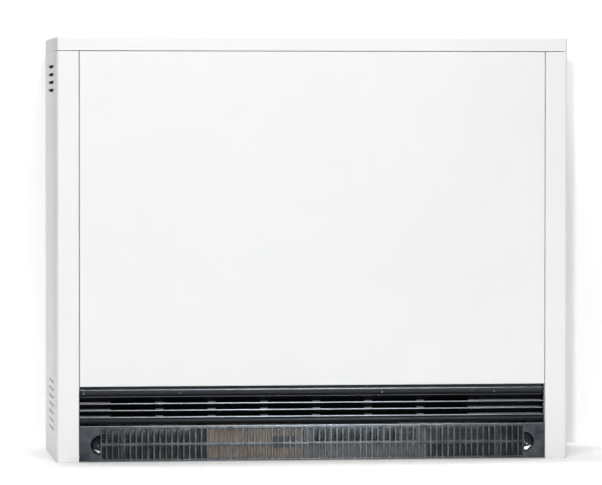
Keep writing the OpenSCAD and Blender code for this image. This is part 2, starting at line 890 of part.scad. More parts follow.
// The fluff net, held in the middle of its frame
module filter_mesh() {
    cols = 60;
    rows = 4;
    strand = 0.8;
    net_y = filter_y + filter_t / 2;
    w = 2 * (filter_half - filter_bar);
    h = filter_top - filter_z - 2 * filter_bar;
    gap_w = (w - (cols + 1) * strand) / cols;
    gap_h = (h - (rows + 1) * strand) / rows;
    color("darkslategray") along_y(net_y - net_t / 2, net_y + net_t / 2) difference() {
        translate([-w / 2, filter_z + filter_bar]) square([w, h]);
        for (i = [0 : cols - 1])
            for (j = [0 : rows - 1])
                translate([-w / 2 + strand + i * (gap_w + strand),
                           filter_z + filter_bar + strand + j * (gap_h + strand)])
                    square([gap_w, gap_h]);
    }
}
module phenolic_board() {
    color("sienna") {
        block([motor_x - phenolic_half, board_y, base_t],
              [motor_x + phenolic_half, board_y + phenolic_t, inlet_top - inner_t]);
        block([motor_x - phenolic_half, board_y, base_t],
              [motor_x + phenolic_half, board_y + phenolic_foot, base_t + phenolic_t]);
    }
}
module air_guide_plate() {
    x0 = motor_x + phenolic_half + guide_gap;
    x1 = x0 + guide_w;
    color("lightgray") {
        block([x0, board_y, base_t], [x1, board_y + inner_t, base_t + guide_h]);
        block([x0, board_y, base_t], [x1, board_y + guide_foot, base_t + inner_t]);
    }
}

// Fans

// The scroll round a wheel, open at the front below and at the riser
module shroud_outline() {
    t = shroud_t;
    far = 3 * shroud_r;
    translate([fan_y, fan_z]) difference() {
        circle(shroud_r + t);
        circle(shroud_r);
        polygon([[0, 0], far * [cos(165), sin(165)], far * [cos(225), sin(225)],
                 far * [cos(285), sin(285)]]);
        translate([shroud_r / 2 + t, 0]) square(far);
    }
    neck_low = sqrt(3) / 2 * shroud_r;
    translate([fan_y + shroud_r, fan_z]) square([t, deck_z - fan_z]);
    translate([neck_y, fan_z + neck_low]) square([t, deck_z - fan_z - neck_low]);
}
module fan_housings() {
    plate_w = shroud_r + shroud_t;
    color("silver") for (s = [-1, 1]) difference() {
        union() {
            x_a = motor_x + s * plate_near;
            x_b = motor_x + s * (plate_far + plate_t);
            along_x(min(x_a, x_b), max(x_a, x_b)) shroud_outline();
            for (d = [plate_near, plate_far]) {
                x_p = min(motor_x + s * d, motor_x + s * (d + plate_t));
                block([x_p, fan_y - plate_w, base_t], [x_p + plate_t, fan_y + plate_w, deck_z]);
            }
        }
        rod_x(motor_x - plate_far - plate_t - cut, motor_x + plate_far + plate_t + cut, fan_y, fan_z,
              bush_r + bush_fit);
    }
}
// One curved wheel blade as a bent strip
function blade_side(r0, r1, lean, shift) = [
    for (i = [0 : 3]) let (r = r0 + (r1 - r0) * i / 3, a = lean * pow(i / 3, 2) + shift / r * 57.3)
        [r * cos(a), r * sin(a)]];
function reversed(list) = [for (i = [len(list) - 1 : -1 : 0]) list[i]];
module wheel_outline() {
    inner = 0.74 * wheel_r;
    outer = wheel_r - 0.5;
    near = blade_side(inner, outer, 14, -0.4);
    away = blade_side(inner, outer, 14, 0.4);
    for (i = [0 : wheel_blades - 1]) rotate(i * 360 / wheel_blades) polygon(concat(near, reversed(away)));
}
module fan_wheels() {
    disc_t = 1.5;
    color("lightgray") for (s = [-1, 1]) difference() {
        x_a = motor_x + s * wheel_gap;
        x_b = motor_x + s * (wheel_gap + wheel_len);
        x_low = min(x_a, x_b);
        union() {
            translate([x_low, fan_y, fan_z]) rotate([90, 0, 90]) linear_extrude(wheel_len) wheel_outline();
            for (x = [x_low, x_low + (wheel_len - disc_t) / 2, x_low + wheel_len - disc_t])
                rod_x(x, x + disc_t, fan_y, fan_z, wheel_r);
            rod_x(x_low, x_low + wheel_len, fan_y, fan_z, bush_r);
        }
        rod_x(x_low - cut, x_low + wheel_len + cut, fan_y, fan_z, shaft_r + shaft_fit);
    }
}
module fan_shaft() {
    reach = plate_far + shaft_over;
    color("silver") rod_x(motor_x - reach, motor_x + reach, fan_y, fan_z, shaft_r);
}
module motor_rotor() {
    color("gray") difference() {
        rod_x(motor_x - stator_len / 2, motor_x + stator_len / 2, fan_y, fan_z, rotor_r);
        rod_x(motor_x - stator_len, motor_x + stator_len, fan_y, fan_z, shaft_r + shaft_fit);
    }
}
module motor_stator() {
    color("gray") difference() {
        block([motor_x - stator_len / 2, fan_y - stator_half, fan_z - stator_half],
              [motor_x + stator_len / 2, fan_y + stator_half, fan_z + stator_half]);
        rod_x(motor_x - stator_len, motor_x + stator_len, fan_y, fan_z, rotor_r + rotor_gap);
    }
}
module motor_coil() {
    y_face = fan_y - stator_half;
    color("peru") translate([0, 0, fan_z - coil_h / 2]) linear_extrude(coil_h) {
        round_square([motor_x - coil_w / 2, y_face - coil_d], [motor_x + coil_w / 2, y_face], coil_r);
        translate([motor_x - coil_w / 2, y_face - coil_r]) square([coil_w, coil_r]);
    }
}
module motor_bracket() {
    x_half = stator_len / 2 + bracket_w;
    x_foot = x_half + bracket_foot;
    y0 = fan_y - stator_half;
    y1 = fan_y + stator_half;
    z_top = fan_z - stator_half;
    color("silver") translate([motor_x, 0, 0]) {
        block([-x_half, y0, z_top - bracket_t], [x_half, y1, z_top]);
        both_sides() {
            block([x_half - bracket_t, y0, base_t], [x_half, y1, z_top]);
            block([x_half - bracket_t, y0, base_t], [x_foot, y1, base_t + bracket_t]);
        }
    }
}
// Plain bushes, flanged against the housings' end plates
module bush(x_seat, s) {
    x_out = x_seat + s * bush_out;
    x_deep = x_seat - s * bush_in;
    x_flange = x_seat + s * bush_flange_t;
    difference() {
        union() {
            rod_x(min(x_out, x_deep), max(x_out, x_deep), fan_y, fan_z, bush_r);
            rod_x(min(x_seat, x_flange), max(x_seat, x_flange), fan_y, fan_z, bush_flange_r);
        }
        rod_x(min(x_out, x_deep) - cut, max(x_out, x_deep) + cut, fan_y, fan_z, shaft_r + shaft_clear);
    }
}
module shaft_bushes() {
    color("goldenrod") for (s = [-1, 1]) {
        bush(motor_x + s * plate_near, -s);
        bush(motor_x + s * (plate_far + plate_t), s);
    }
}

// Core

module front_insulation() {
    color("tan") block([core_left, y_inner, deck_top], [plate_x, brick_front, core_top]);
}
module rear_insulation() {
    color("tan") block([core_left, brick_back, deck_top], [plate_x, core_back, core_top]);
}
module left_insulation() {
    color("tan") block([core_left, brick_front, deck_top], [brick_left, brick_back, core_top]);
}
module right_insulation() {
    color("tan") difference() {
        block([brick_right, brick_front, deck_top], [plate_x, brick_back, core_top]);
        sleeve_holes(brick_right - cut, plate_x + cut);
        rod_x(brick_right - cut, plate_x + cut, element_y, sensor_z, sensor_r + slip);
    }
}
// The top board, hollowed below for the air that turns back down
module top_insulation() {
    color("tan") difference() {
        block([core_left, y_inner, core_top], [plate_x, core_back, core_top + top_board_t]);
        block([brick_left, brick_front + plenum_edge, core_top - cut],
              [brick_right, brick_back - plenum_edge, core_top + plenum_d]);
    }
}
module base_insulation() {
    color("tan") difference() {
        block([brick_left, brick_front, deck_top], [brick_right, brick_back, deck_top + base_board_t]);
        air_ports(deck_top - cut, brick_z);
    }
}
module brick_tray() {
    color("gray") difference() {
        block([brick_left, brick_front, deck_top + base_board_t], [brick_right, brick_back, brick_z]);
        air_ports(deck_top, brick_z + cut);
    }
}
// The bent path of one heating element, as a tube of any radius
module element_path(z, r, x_end) {
    for (s = [-1, 1]) rod_x(element_bend_x, x_end, element_y + s * element_span / 2, z, r);
    translate([element_bend_x, element_y, z]) rotate([0, 0, 90]) rotate_extrude(angle = 180)
        translate([element_span / 2, 0]) circle(r);
}
// One brick with its air channels; the grooves of the elements run across the courses
module brick(level, column) {
    x0 = brick_left + column * brick_w;
    z0 = brick_z + level * brick_h;
    z_element = brick_z + (level % 2 == 0 ? level + 1 : level) * brick_h;
    difference() {
        block([x0 + (column > 0 ? brick_joint : 0), brick_front, z0],
              [x0 + brick_w, brick_back, z0 + brick_h - brick_joint]);
        for (i = [0 : channels - 1])
            for (y = [down_y, riser_y])
                translate([x0 + (i + 0.5) * brick_w / channels - channel_w / 2, y - channel_d / 2, z0 - cut])
                    cube([channel_w, channel_d, brick_h + 2 * cut]);
        element_path(z_element, groove_r, brick_right + cut);
        if (level == sensor_level)
            rod_x(sensor_tip - 2 * cut, brick_right + cut, element_y, sensor_z, sensor_r + brick_joint);
    }
}
module brick_pair(first) {
    color("dimgray") for (level = [first, first + 1])
        for (column = [0 : bricks_wide - 1])
            brick(level, column);
}
module lower_bricks() {
    brick_pair(0);
}
module middle_bricks() {
    brick_pair(2);
}
module upper_bricks() {
    brick_pair(4);
}
module heating_elements() {
    color("slategray") for (level = element_levels)
        element_path(brick_z + level * brick_h, element_r, element_end);
}
module sleeve_places() {
    for (level = element_levels)
        for (s = [-1, 1])
            translate([0, element_y + s * element_span / 2, brick_z + level * brick_h]) children();
}
module sleeve_holes(x0, x1) {
    sleeve_places() rod_x(x0, x1, 0, 0, sleeve_r + slip);
}
// Ceramic sleeves that lead the elements out of the core
module element_sleeves() {
    color("ivory") sleeve_places() difference() {
        union() {
            rod_x(brick_right, bay_x + sleeve_out, 0, 0, sleeve_r);
            rod_x(bay_x, bay_x + sleeve_flange_t, 0, 0, sleeve_flange_r);
        }
        rod_x(brick_right - cut, bay_x + sleeve_out + cut, 0, 0, element_r + element_fit);
    }
}
module core_sensor() {
    color("silver") {
        rod_x(sensor_tip, bay_x + cut, element_y, sensor_z, sensor_r);
        rod_x(bay_x, bay_x + sensor_head_t, element_y, sensor_z, sensor_head_r);
    }
}

// Switch bay

module control_box() {
    z_low = knob_z - box_below;
    z_high = knob_z + box_above;
    color("whitesmoke") difference() {
        block([bay_x, box_y, z_low], [bay_x + box_d, box_y + box_w, z_high]);
        block([bay_x - cut, box_y + box_wall, z_low + box_wall],
              [bay_x + box_d - box_wall, box_y + box_w - box_wall, z_high - box_wall]);
        rod_x(bay_x, bay_x + box_d + cut, knob_y, knob_z, knob_shaft_r + shaft_clear);
    }
}
module knob_bezel() {
    x_floor = half_w - knob_recess;
    color("lightgray") difference() {
        union() {
            rod_x(x_floor, half_w, knob_y, knob_z, bezel_r);
            rod_x(x_in - bezel_lip_t, x_in, knob_y, knob_z, bezel_r + bezel_lip);
        }
        rod_x(x_floor + bezel_wall, half_w + cut, knob_y, knob_z, bezel_r - bezel_wall);
        rod_x(x_floor - cut, half_w, knob_y, knob_z, knob_shaft_r + shaft_clear);
    }
}
module charge_knob() {
    x_back = half_w - knob_recess + bezel_wall + knob_gap;
    x_face = half_w - knob_inset;
    x_skirt = (x_back + x_face) / 2;
    color("gray") difference() {
        union() {
            rod_x(x_back, x_skirt, knob_y, knob_z, knob_r);
            intersection() {
                rod_x(x_skirt, x_face, knob_y, knob_z, knob_r - knob_skirt);
                block([x_skirt, knob_y - grip_half, knob_z - knob_r],
                      [x_face, knob_y + grip_half, knob_z + knob_r]);
            }
        }
        rod_x(x_back - cut, x_skirt, knob_y, knob_z, knob_shaft_r + shaft_fit);
    }
}
module knob_shaft() {
    x_start = bay_x + box_d - shaft_in;
    x_tip = half_w - knob_recess + bezel_wall + shaft_grip;
    color("silver") {
        rod_x(x_start, x_tip, knob_y, knob_z, knob_shaft_r);
        rod_x(x_start, x_start + cam_t, knob_y, knob_z, cam_r);
    }
}
// The electronic board on its posts, with the switching relays
module circuit_board() {
    y_high = box_y + box_w;
    color("seagreen") {
        block([board_x, box_y, board_z], [board_x + board_t, y_high, board_z + board_h]);
        for (y = [box_y + post_inset, y_high - post_inset])
            for (z = [board_z + post_inset, board_z + board_h - post_inset])
                rod_x(bay_x, board_x, y, z, post_r);
        for (i = [0 : 2])
            translate([board_x + board_t, box_y + relay_side, board_z + relay_low + i * relay_pitch])
                cube(relay_size);
    }
}
module terminal_block() {
    way_w = box_w / block_ways;
    color("ivory") difference() {
        block([bay_x, box_y, block_z], [bay_x + block_d, box_y + box_w, block_z + block_h]);
        for (i = [0 : block_ways - 1]) {
            y = box_y + (i + 0.5) * way_w;
            rod_x(bay_x + block_d - block_hole, bay_x + block_d + cut, y, cable_z, block_screw_r);
            rod_z(block_z - cut, block_z + block_hole, bay_x + block_d / 2, y, block_wire_r);
        }
    }
}
module safety_cutout() {
    x_face = bay_x + cutout_d;
    color("dimgray") difference() {
        union() {
            rod_x(bay_x, x_face, cutout_y, cutout_z, cutout_r);
            rod_x(x_face, x_face + collar_d, cutout_y, cutout_z, collar_r);
        }
        rod_x(x_face - cutout_seat, x_face + collar_d + cut, cutout_y, cutout_z, button_r + slip);
    }
}
module reset_button() {
    x_face = bay_x + cutout_d;
    x_end = x_face + collar_d + reset_travel + button_over;
    color("red") rod_x(x_face, x_end, cutout_y, cutout_z, button_r);
}
module earth_stud() {
    y = box_y - stud_offset;
    color("goldenrod") {
        rod_x(bay_x, bay_x + stud_len, y, cable_z, stud_r);
        rod_x(bay_x, bay_x + nut_t, y, cable_z, nut_r);
    }
}
// Wires from the terminal block to the elements, as one trunk with branches
module wiring_loom() {
    z_link = cable_z + block_h / 2 + 1.5;
    z_high = brick_z + element_levels[2] * brick_h;
    x_low = bay_x + block_d / 2;
    y_link = element_y - loom_drop;
    color("black") {
        rod_z(cable_z, z_high, loom_x, y_link, loom_r);
        for (level = element_levels)
            rod_y(element_y - element_span / 2, element_y + element_span / 2, loom_x,
                  brick_z + level * brick_h, loom_r);
        rod_x(x_low, loom_x, y_link, z_link, loom_r);
        rod_y(y_link - loom_r, box_y, x_low, z_link - loom_r - 2, loom_r);
    }
}
// A rubber grommet for the supply cable, snapped into the rear wall
module cable_grommet() {
    y0 = y_back - sheet_t - grommet_lip;
    y1 = y_back + grommet_lip;
    neck_r = cable_r + grommet_wall - slip;
    color("black") difference() {
        union() {
            rod_y(y0, y1, cable_x, cable_z, neck_r);
            rod_y(y_back, y1, cable_x, cable_z, neck_r + grommet_lip);
            rod_y(y0, y_back - sheet_t, cable_x, cable_z, neck_r + grommet_lip - 1);
        }
        rod_y(y0 - cut, y1 + cut, cable_x, cable_z, cable_r);
    }
}

base_pan();
rear_wall();
left_side_panel();
right_side_panel();
top_cover();
front_panel();
inner_front_panel();
wall_spacers();
lid_rails();
panel_clips();
deck_plate();
bay_plate();
outlet_grille();
outlet_baffle();
duct_tray();
outlet_duct();
mixing_flap();
flap_rod();
bimetal_strip();
inlet_grille();
hinge_pins();
grille_catches();
filter_frame();
filter_mesh();
fan_housings();
fan_wheels();
fan_shaft();
motor_rotor();
motor_stator();
motor_coil();
motor_bracket();
shaft_bushes();
phenolic_board();
air_guide_plate();
front_insulation();
rear_insulation();
left_insulation();
right_insulation();
top_insulation();
base_insulation();
brick_tray();
lower_bricks();
middle_bricks();
upper_bricks();
heating_elements();
element_sleeves();
core_sensor();
control_box();
knob_bezel();
charge_knob();
knob_shaft();
circuit_board();
terminal_block();
safety_cutout();
reset_button();
earth_stud();
wiring_loom();
cable_grommet();
outlet_screws();
casing_screws();
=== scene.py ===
"""Looks of the storage heater, in the frame's metres: camera, finishes, pieces, stage and lamps."""
import json
import math

import bmesh
import bpy
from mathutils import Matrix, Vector


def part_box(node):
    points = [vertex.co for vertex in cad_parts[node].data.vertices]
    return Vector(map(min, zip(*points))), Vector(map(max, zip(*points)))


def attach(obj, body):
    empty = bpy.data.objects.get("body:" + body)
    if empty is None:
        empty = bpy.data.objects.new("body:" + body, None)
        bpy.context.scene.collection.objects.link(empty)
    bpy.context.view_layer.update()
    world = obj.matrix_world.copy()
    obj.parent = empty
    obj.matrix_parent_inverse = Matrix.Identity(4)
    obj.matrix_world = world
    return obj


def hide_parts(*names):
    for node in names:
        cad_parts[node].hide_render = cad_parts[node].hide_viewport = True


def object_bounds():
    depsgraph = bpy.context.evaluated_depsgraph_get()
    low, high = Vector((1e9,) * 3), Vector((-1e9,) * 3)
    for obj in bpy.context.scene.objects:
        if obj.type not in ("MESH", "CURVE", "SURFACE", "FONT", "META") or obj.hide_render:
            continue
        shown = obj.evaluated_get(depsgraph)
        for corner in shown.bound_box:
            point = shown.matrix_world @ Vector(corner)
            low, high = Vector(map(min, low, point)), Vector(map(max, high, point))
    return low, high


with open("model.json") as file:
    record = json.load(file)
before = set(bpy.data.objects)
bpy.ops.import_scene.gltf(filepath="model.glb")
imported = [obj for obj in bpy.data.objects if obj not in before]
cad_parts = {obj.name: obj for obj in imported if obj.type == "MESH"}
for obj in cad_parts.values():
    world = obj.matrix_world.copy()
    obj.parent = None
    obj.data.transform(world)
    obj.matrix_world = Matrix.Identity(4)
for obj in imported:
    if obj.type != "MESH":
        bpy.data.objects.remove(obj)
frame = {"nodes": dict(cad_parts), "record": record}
cad_low, cad_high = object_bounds()
MM = 0.001


def placed(name, data):
    """A new object in the scene."""
    ob = bpy.data.objects.new(name, data)
    bpy.context.scene.collection.objects.link(ob)
    return ob


# Camera

CAMERA_PLACE = (-0.7953, -5.9375, 0.5135)
CAMERA_YAW = 0.1096
CAMERA_PITCH = -0.0235
LENS_MM = 231.19
SENSOR_MM = 36
FRAME_SHIFT = (0.15, -0.05)
CLIP_END = 60


def make_camera():
    """A long lens at the photograph's angle, from the left of the centre, with a shifted frame."""
    camera = bpy.data.cameras.new("camera")
    camera.lens = LENS_MM
    camera.sensor_width = SENSOR_MM
    camera.shift_x, camera.shift_y = FRAME_SHIFT
    camera.clip_end = CLIP_END
    ob = placed("camera", camera)
    ob.location = CAMERA_PLACE
    ob.rotation_euler = (math.pi / 2 + CAMERA_PITCH, 0, -CAMERA_YAW)
    bpy.context.scene.camera = ob


# Finishes

class Nodes:
    """A small helper that lays out the nodes of one material."""

    def __init__(self, name):
        self.name = name
        self.material = bpy.data.materials.new(name)
        self.material.use_nodes = True
        self.tree = self.material.node_tree
        self.tree.nodes.clear()
        self.output = self.tree.nodes.new("ShaderNodeOutputMaterial")
        coords = self.tree.nodes.new("ShaderNodeTexCoord")
        self.place = coords.outputs["Object"]

    def add(self, kind, **inputs):
        node = self.tree.nodes.new(kind)
        for key, value in inputs.items():
            self.set(node.inputs[key.replace("_", " ")], value)
        return node

    def set(self, socket, value):
        """Links another node's socket, or sets a plain value."""
        if isinstance(value, bpy.types.NodeSocket):
            self.tree.links.new(value, socket)
        else:
            socket.default_value = value

    def stretched(self, scale):
        node = self.add("ShaderNodeMapping", Vector=self.place, Scale=scale)
        return node.outputs["Vector"]

    def noise(self, scale, detail=3, stretch=None):
        place = self.stretched(stretch) if stretch else self.place
        node = self.add("ShaderNodeTexNoise", Vector=place, Scale=scale, Detail=detail)
        return node.outputs["Fac"]

    def cells(self, scale, feature="F1", output="Distance"):
        node = self.add("ShaderNodeTexVoronoi", Vector=self.place, Scale=scale)
        node.feature = feature
        return node.outputs[output]

    def spread(self, value, low, high, start=0.3, end=0.7):
        """A number between low and high as the texture goes from start to end."""
        node = self.add("ShaderNodeMapRange", Value=value)
        for key, number in zip(("From Min", "From Max", "To Min", "To Max"), (start, end, low, high)):
            node.inputs[key].default_value = number
        return node.outputs["Result"]

    def blend(self, value, first, second, start=0.35, end=0.65):
        """A colour that goes from first to second as the texture goes from start to end."""
        ramp = self.add("ShaderNodeValToRGB", Fac=value)
        low, high = ramp.color_ramp.elements
        low.position, high.position = start, end
        low.color, high.color = (*first, 1), (*second, 1)
        return ramp.outputs["Color"]

    def vector(self, operation, output="Vector", **inputs):
        """The result of a vector operation, with its inputs by name."""
        node = self.tree.nodes.new("ShaderNodeVectorMath")
        node.operation = operation
        for key, value in inputs.items():
            self.set(node.inputs[key], value)
        return node.outputs[output]

    def painted_shade_in_front(self, colour, share):
        """Painted shade: the colour on faces that look back, and a share of it on faces that look
        forwards.
        """
        sides = self.tree.nodes.new("ShaderNodeNewGeometry")
        facing = self.add("ShaderNodeSeparateXYZ", Vector=sides.outputs["Normal"])
        factor = self.spread(facing.outputs["Y"], share, 1.0, -0.5, 0.5)
        return self.vector("SCALE", Vector=colour, Scale=factor)

    def painted_highlight_falloff(self, colour, share, start, end):
        """Painted highlight along X: the colour up to start from the middle, and a share of it from end
        on.
        """
        distance = self.vector("ABSOLUTE", Vector=self.place)
        along = self.add("ShaderNodeSeparateXYZ", Vector=distance)
        factor = self.spread(along.outputs["X"], 1.0, share, start, end)
        return self.vector("SCALE", Vector=colour, Scale=factor)

    def bump(self, height, distance, strength=0.5):
        node = self.add("ShaderNodeBump", Height=height, Strength=strength, Distance=distance)
        return node.outputs["Normal"]

    def surface(self, base, roughness, metallic=0.0, normal=None, **sockets):
        """Ends the tree with its shader, and gives the name and the material."""
        shader = self.tree.nodes.new("ShaderNodeBsdfPrincipled")
        self.set(shader.inputs["Base Color"], base)
        self.set(shader.inputs["Roughness"], roughness)
        shader.inputs["Metallic"].default_value = metallic
        for key, value in sockets.items():
            shader.inputs[key.replace("_", " ")].default_value = value
        if normal:
            self.set(shader.inputs["Normal"], normal)
        self.set(self.output.inputs["Surface"], shader.outputs[0])
        return self.name, self.material


def shade(colour, factor):
    return tuple(min(1.0, part * factor) for part in colour)


def tones(colour, spread):
    """A darker and a lighter shade of a colour."""
    return shade(colour, 1 - spread), shade(colour, 1 + spread)


def paint(name, colour, roughness, peel=0.00002, spread=0.03, gloss=0.5):
    """Sprayed and baked enamel: slow changes of tone and a fine orange peel."""
    nodes = Nodes(name)
    base = nodes.blend(nodes.noise(scale=5, detail=2), *tones(colour, spread))
    rough = nodes.spread(nodes.noise(scale=30), roughness - 0.04, roughness + 0.04)
    normal = nodes.bump(nodes.noise(scale=900, detail=1), peel, strength=0.35)
    return nodes.surface(base, rough, normal=normal, IOR=1.5, Specular_IOR_Level=gloss)


def edge_painted_highlight(name, colour, roughness):
    """A light metallic edge that stands in for highlight lines, with a painted highlight that is
    brightest in the middle and fades towards the ends, streaked lengthwise.
    """
    nodes = Nodes(name)
    streaks = nodes.noise(scale=240, stretch=(0.05, 1, 1))
    base = nodes.blend(streaks, shade(colour, 0.9), shade(colour, 1.08))
    # painted highlight: full colour in the middle, a share of it towards both ends
    base = nodes.painted_highlight_falloff(base, share=0.34, start=0.08, end=0.34)
    rough = nodes.spread(nodes.noise(scale=90), roughness - 0.05, roughness + 0.05)
    normal = nodes.bump(streaks, 0.00002, strength=0.3)
    return nodes.surface(base, rough, metallic=0.8, normal=normal)


def galvanised(name, colour=(0.6, 0.61, 0.62), inner_shade_share=1.0):
    """Zinc spangle: flat crystals of slightly different tone, with a rolled grain over them.

    Faces that look forwards, into the casing, keep only the given share of the colour, as painted shade
    for the dark inside of the casing.
    """
    nodes = Nodes(name)
    crystal = nodes.cells(scale=150, output="Color")
    tone = nodes.add("ShaderNodeSeparateColor", Color=crystal)
    base = nodes.blend(tone.outputs[0], shade(colour, 0.93), shade(colour, 1.06), start=0.0, end=1.0)
    # painted shade on the faces that look into the casing
    if inner_shade_share < 1:
        base = nodes.painted_shade_in_front(base, inner_shade_share)
    rough = nodes.spread(tone.outputs[1], 0.34, 0.43, start=0.0, end=1.0)
    grain = nodes.noise(scale=260, detail=2, stretch=(1, 1, 0.08))
    normal = nodes.bump(grain, 0.00003, strength=0.3)
    return nodes.surface(base, rough, metallic=0.85, normal=normal)


def moulded(name, colour, roughness, grain=1400, depth=0.00002, spread=0.08, gloss=0.5):
    """Moulded plastic with a fine spark-eroded grain."""
    nodes = Nodes(name)
    base = nodes.blend(nodes.noise(scale=14), *tones(colour, spread))
    rough = nodes.spread(nodes.noise(scale=60), roughness - 0.05, roughness + 0.06)
    normal = nodes.bump(nodes.noise(scale=grain, detail=1), depth)
    return nodes.surface(base, rough, normal=normal, IOR=1.5, Specular_IOR_Level=gloss)


def drawn_metal(name, colour, roughness):
    """Turned or drawn bare metal with fine lines along X."""
    nodes = Nodes(name)
    lines = nodes.noise(scale=900, detail=2, stretch=(0.04, 1, 1))
    base = nodes.blend(lines, shade(colour, 0.88), shade(colour, 1.08))
    rough = nodes.spread(lines, roughness - 0.06, roughness + 0.08)
    normal = nodes.bump(lines, 0.00001, strength=0.3)
    return nodes.surface(base, rough, metallic=1.0, normal=normal)


def mineral(name, colour, roughness, grain, pit, spread):
    """Fired or pressed mineral: mottled tone and open pores."""
    nodes = Nodes(name)
    mottle = nodes.noise(scale=grain, detail=5)
    base = nodes.blend(mottle, *tones(colour, spread))
    rough = nodes.spread(mottle, roughness - 0.06, min(1.0, roughness + 0.06))
    pores = nodes.noise(scale=grain * 4, detail=4)
    return nodes.surface(base, rough, normal=nodes.bump(pores, pit, strength=0.6))


def phenolic_sheet(name):
    """Brown resin board with darker paper streaks along X, in browns much lighter than such board, as
    painted light for the light it gets behind the inlet.
    """
    nodes = Nodes(name)
    streaks = nodes.noise(scale=60, detail=4, stretch=(0.25, 1, 1))
    # painted light: these browns are lighter than the board's own colour
    base = nodes.blend(streaks, (0.72, 0.4, 0.18), (0.97, 0.68, 0.4), start=0.3, end=0.7)
    rough = nodes.spread(nodes.noise(scale=40), 0.35, 0.55)
    return nodes.surface(base, rough, normal=nodes.bump(streaks, 0.00008, strength=0.4), IOR=1.52)


def wound_tape(name):
    """Yellowed glass tape laid in turns round the coil."""
    nodes = Nodes(name)
    wave = nodes.add("ShaderNodeTexWave", Vector=nodes.place, Scale=70.0, Distortion=0.6)
    wave.bands_direction = "Z"
    turns = wave.outputs["Fac"]
    base = nodes.blend(turns, (0.36, 0.24, 0.09), (0.62, 0.45, 0.2), start=0.1, end=0.8)
    rough = nodes.spread(nodes.noise(scale=200), 0.5, 0.7)
    return nodes.surface(base, rough, normal=nodes.bump(turns, 0.0003))


def circuit(name):
    """Green solder resist over a net of lighter tracks."""
    nodes = Nodes(name)
    tracks = nodes.cells(scale=160, feature="DISTANCE_TO_EDGE")
    base = nodes.blend(tracks, (0.05, 0.24, 0.09), (0.02, 0.12, 0.045), start=0.04, end=0.09)
    rough = nodes.spread(nodes.noise(scale=80), 0.28, 0.42)
    return nodes.surface(base, rough, normal=nodes.bump(tracks, 0.00005, strength=0.4))


THIN_COAT = {"peel": 0.000008}
THICK_COAT = {"peel": 0.00003}
POLISHED = {"depth": 0.000004}


def make_finishes():
    """The materials by name: the record's slots, and the finishes that some pieces have instead."""
    return dict([
        paint("white_enamel", (0.88, 0.88, 0.88), 0.56, spread=0.008),
        paint("black_sheet", (0.005, 0.0055, 0.006), 0.26, spread=0.2, gloss=0.06, **THIN_COAT),
        # painted light: a lighter, glossier copy of black_sheet for the upper rail and its screws,
        # standing in for the light the upper rail catches
        paint("rail_painted_light", (0.02, 0.023, 0.028), 0.24, spread=0.1, gloss=0.26, **THIN_COAT),
        paint("slate_sheet", (0.09, 0.092, 0.1), 0.5, spread=0.15, **THICK_COAT),
        paint("grey_sheet", (0.38, 0.38, 0.41), 0.5, spread=0.1, **THICK_COAT),
        galvanised("galvanised"),
        # painted shade: the rear wall's zinc, darkened on the face that looks into the casing
        galvanised("rear_zinc", inner_shade_share=0.12),
        # painted highlights: light metallic finishes for the outlet lips and the inlet's top edge,
        # standing in for their highlight lines
        edge_painted_highlight("lip_painted_highlight", (0.38, 0.405, 0.44), 0.34),
        edge_painted_highlight("bead_painted_highlight", (0.2, 0.215, 0.235), 0.34),
        drawn_metal("bright_steel", (0.9, 0.91, 0.93), 0.16),
        drawn_metal("wheel_aluminium", (0.36, 0.365, 0.37), 0.42),
        drawn_metal("brass", (0.72, 0.5, 0.2), 0.3),
        drawn_metal("element_steel", (0.2, 0.21, 0.2), 0.48),
        moulded("grey_plastic", (0.006, 0.011, 0.017), 0.18, spread=0.04, gloss=0.25, **POLISHED),
        moulded("net_fibre", (0.012, 0.012, 0.011), 0.22, gloss=0.12, **POLISHED),
        moulded("black_plastic", (0.02, 0.02, 0.022), 0.5),
        moulded("light_plastic", (0.74, 0.74, 0.72), 0.42, spread=0.03),
        moulded("red_plastic", (0.5, 0.03, 0.02), 0.4),
        moulded("rubber", (0.022, 0.022, 0.022), 0.62, grain=700, depth=0.00004),
        mineral("ceramic", (0.78, 0.74, 0.64), 0.5, grain=120, pit=0.00005, spread=0.06),
        mineral("insulation", (0.56, 0.47, 0.34), 0.92, grain=90, pit=0.0006, spread=0.14),
        mineral("brick", (0.15, 0.115, 0.09), 0.85, grain=240, pit=0.0005, spread=0.3),
        circuit("board_green"),
        phenolic_sheet("phenolic"),
        wound_tape("coil_tape"),
    ])


# Mesh building, in millimetres

def box_mm(node):
    """A CAD node's corners in millimetres."""
    low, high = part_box(node)
    return [value / MM for value in low], [value / MM for value in high]


def arc(u, v, r, start, end, steps=6):
    """Points on an arc, with its angles in degrees."""
    turns = [math.radians(start + (end - start) * i / steps) for i in range(steps + 1)]
    return [(u + r * math.cos(a), v + r * math.sin(a)) for a in turns]


def ring(u, v, r, steps=48):
    """Points on a whole circle."""
    return arc(u, v, r, 0, 360, steps)[:-1]


def rectangle(u0, v0, u1, v1, r=0.0):
    """A rectangle with round corners, anticlockwise."""
    if r == 0:
        return [(u0, v0), (u1, v0), (u1, v1), (u0, v1)]
    corners = ((u0 + r, v0 + r, 180), (u1 - r, v0 + r, 270), (u1 - r, v1 - r, 0), (u0 + r, v1 - r, 90))
    return [p for u, v, a in corners for p in arc(u, v, r, a, a + 90, 3)]


def in_front(y):
    """Outlines in X and Z, with their depth running back from y."""
    return lambda u, v, w: (u, y + w, v)


def behind(y):
    """Outlines in X and Z, with their depth running forward from y."""
    return lambda u, v, w: (u, y - w, v)


def across(side=1):
    """Outlines in Y and Z, carried along X, mirrored for the left side."""
    return lambda u, v, w: (side * w, u, v)


def upward(side=1):
    """Outlines in X and Y, carried along Z, mirrored for the left side."""
    return lambda u, v, w: (side * u, v, w)


WELD_GAP = 0.002


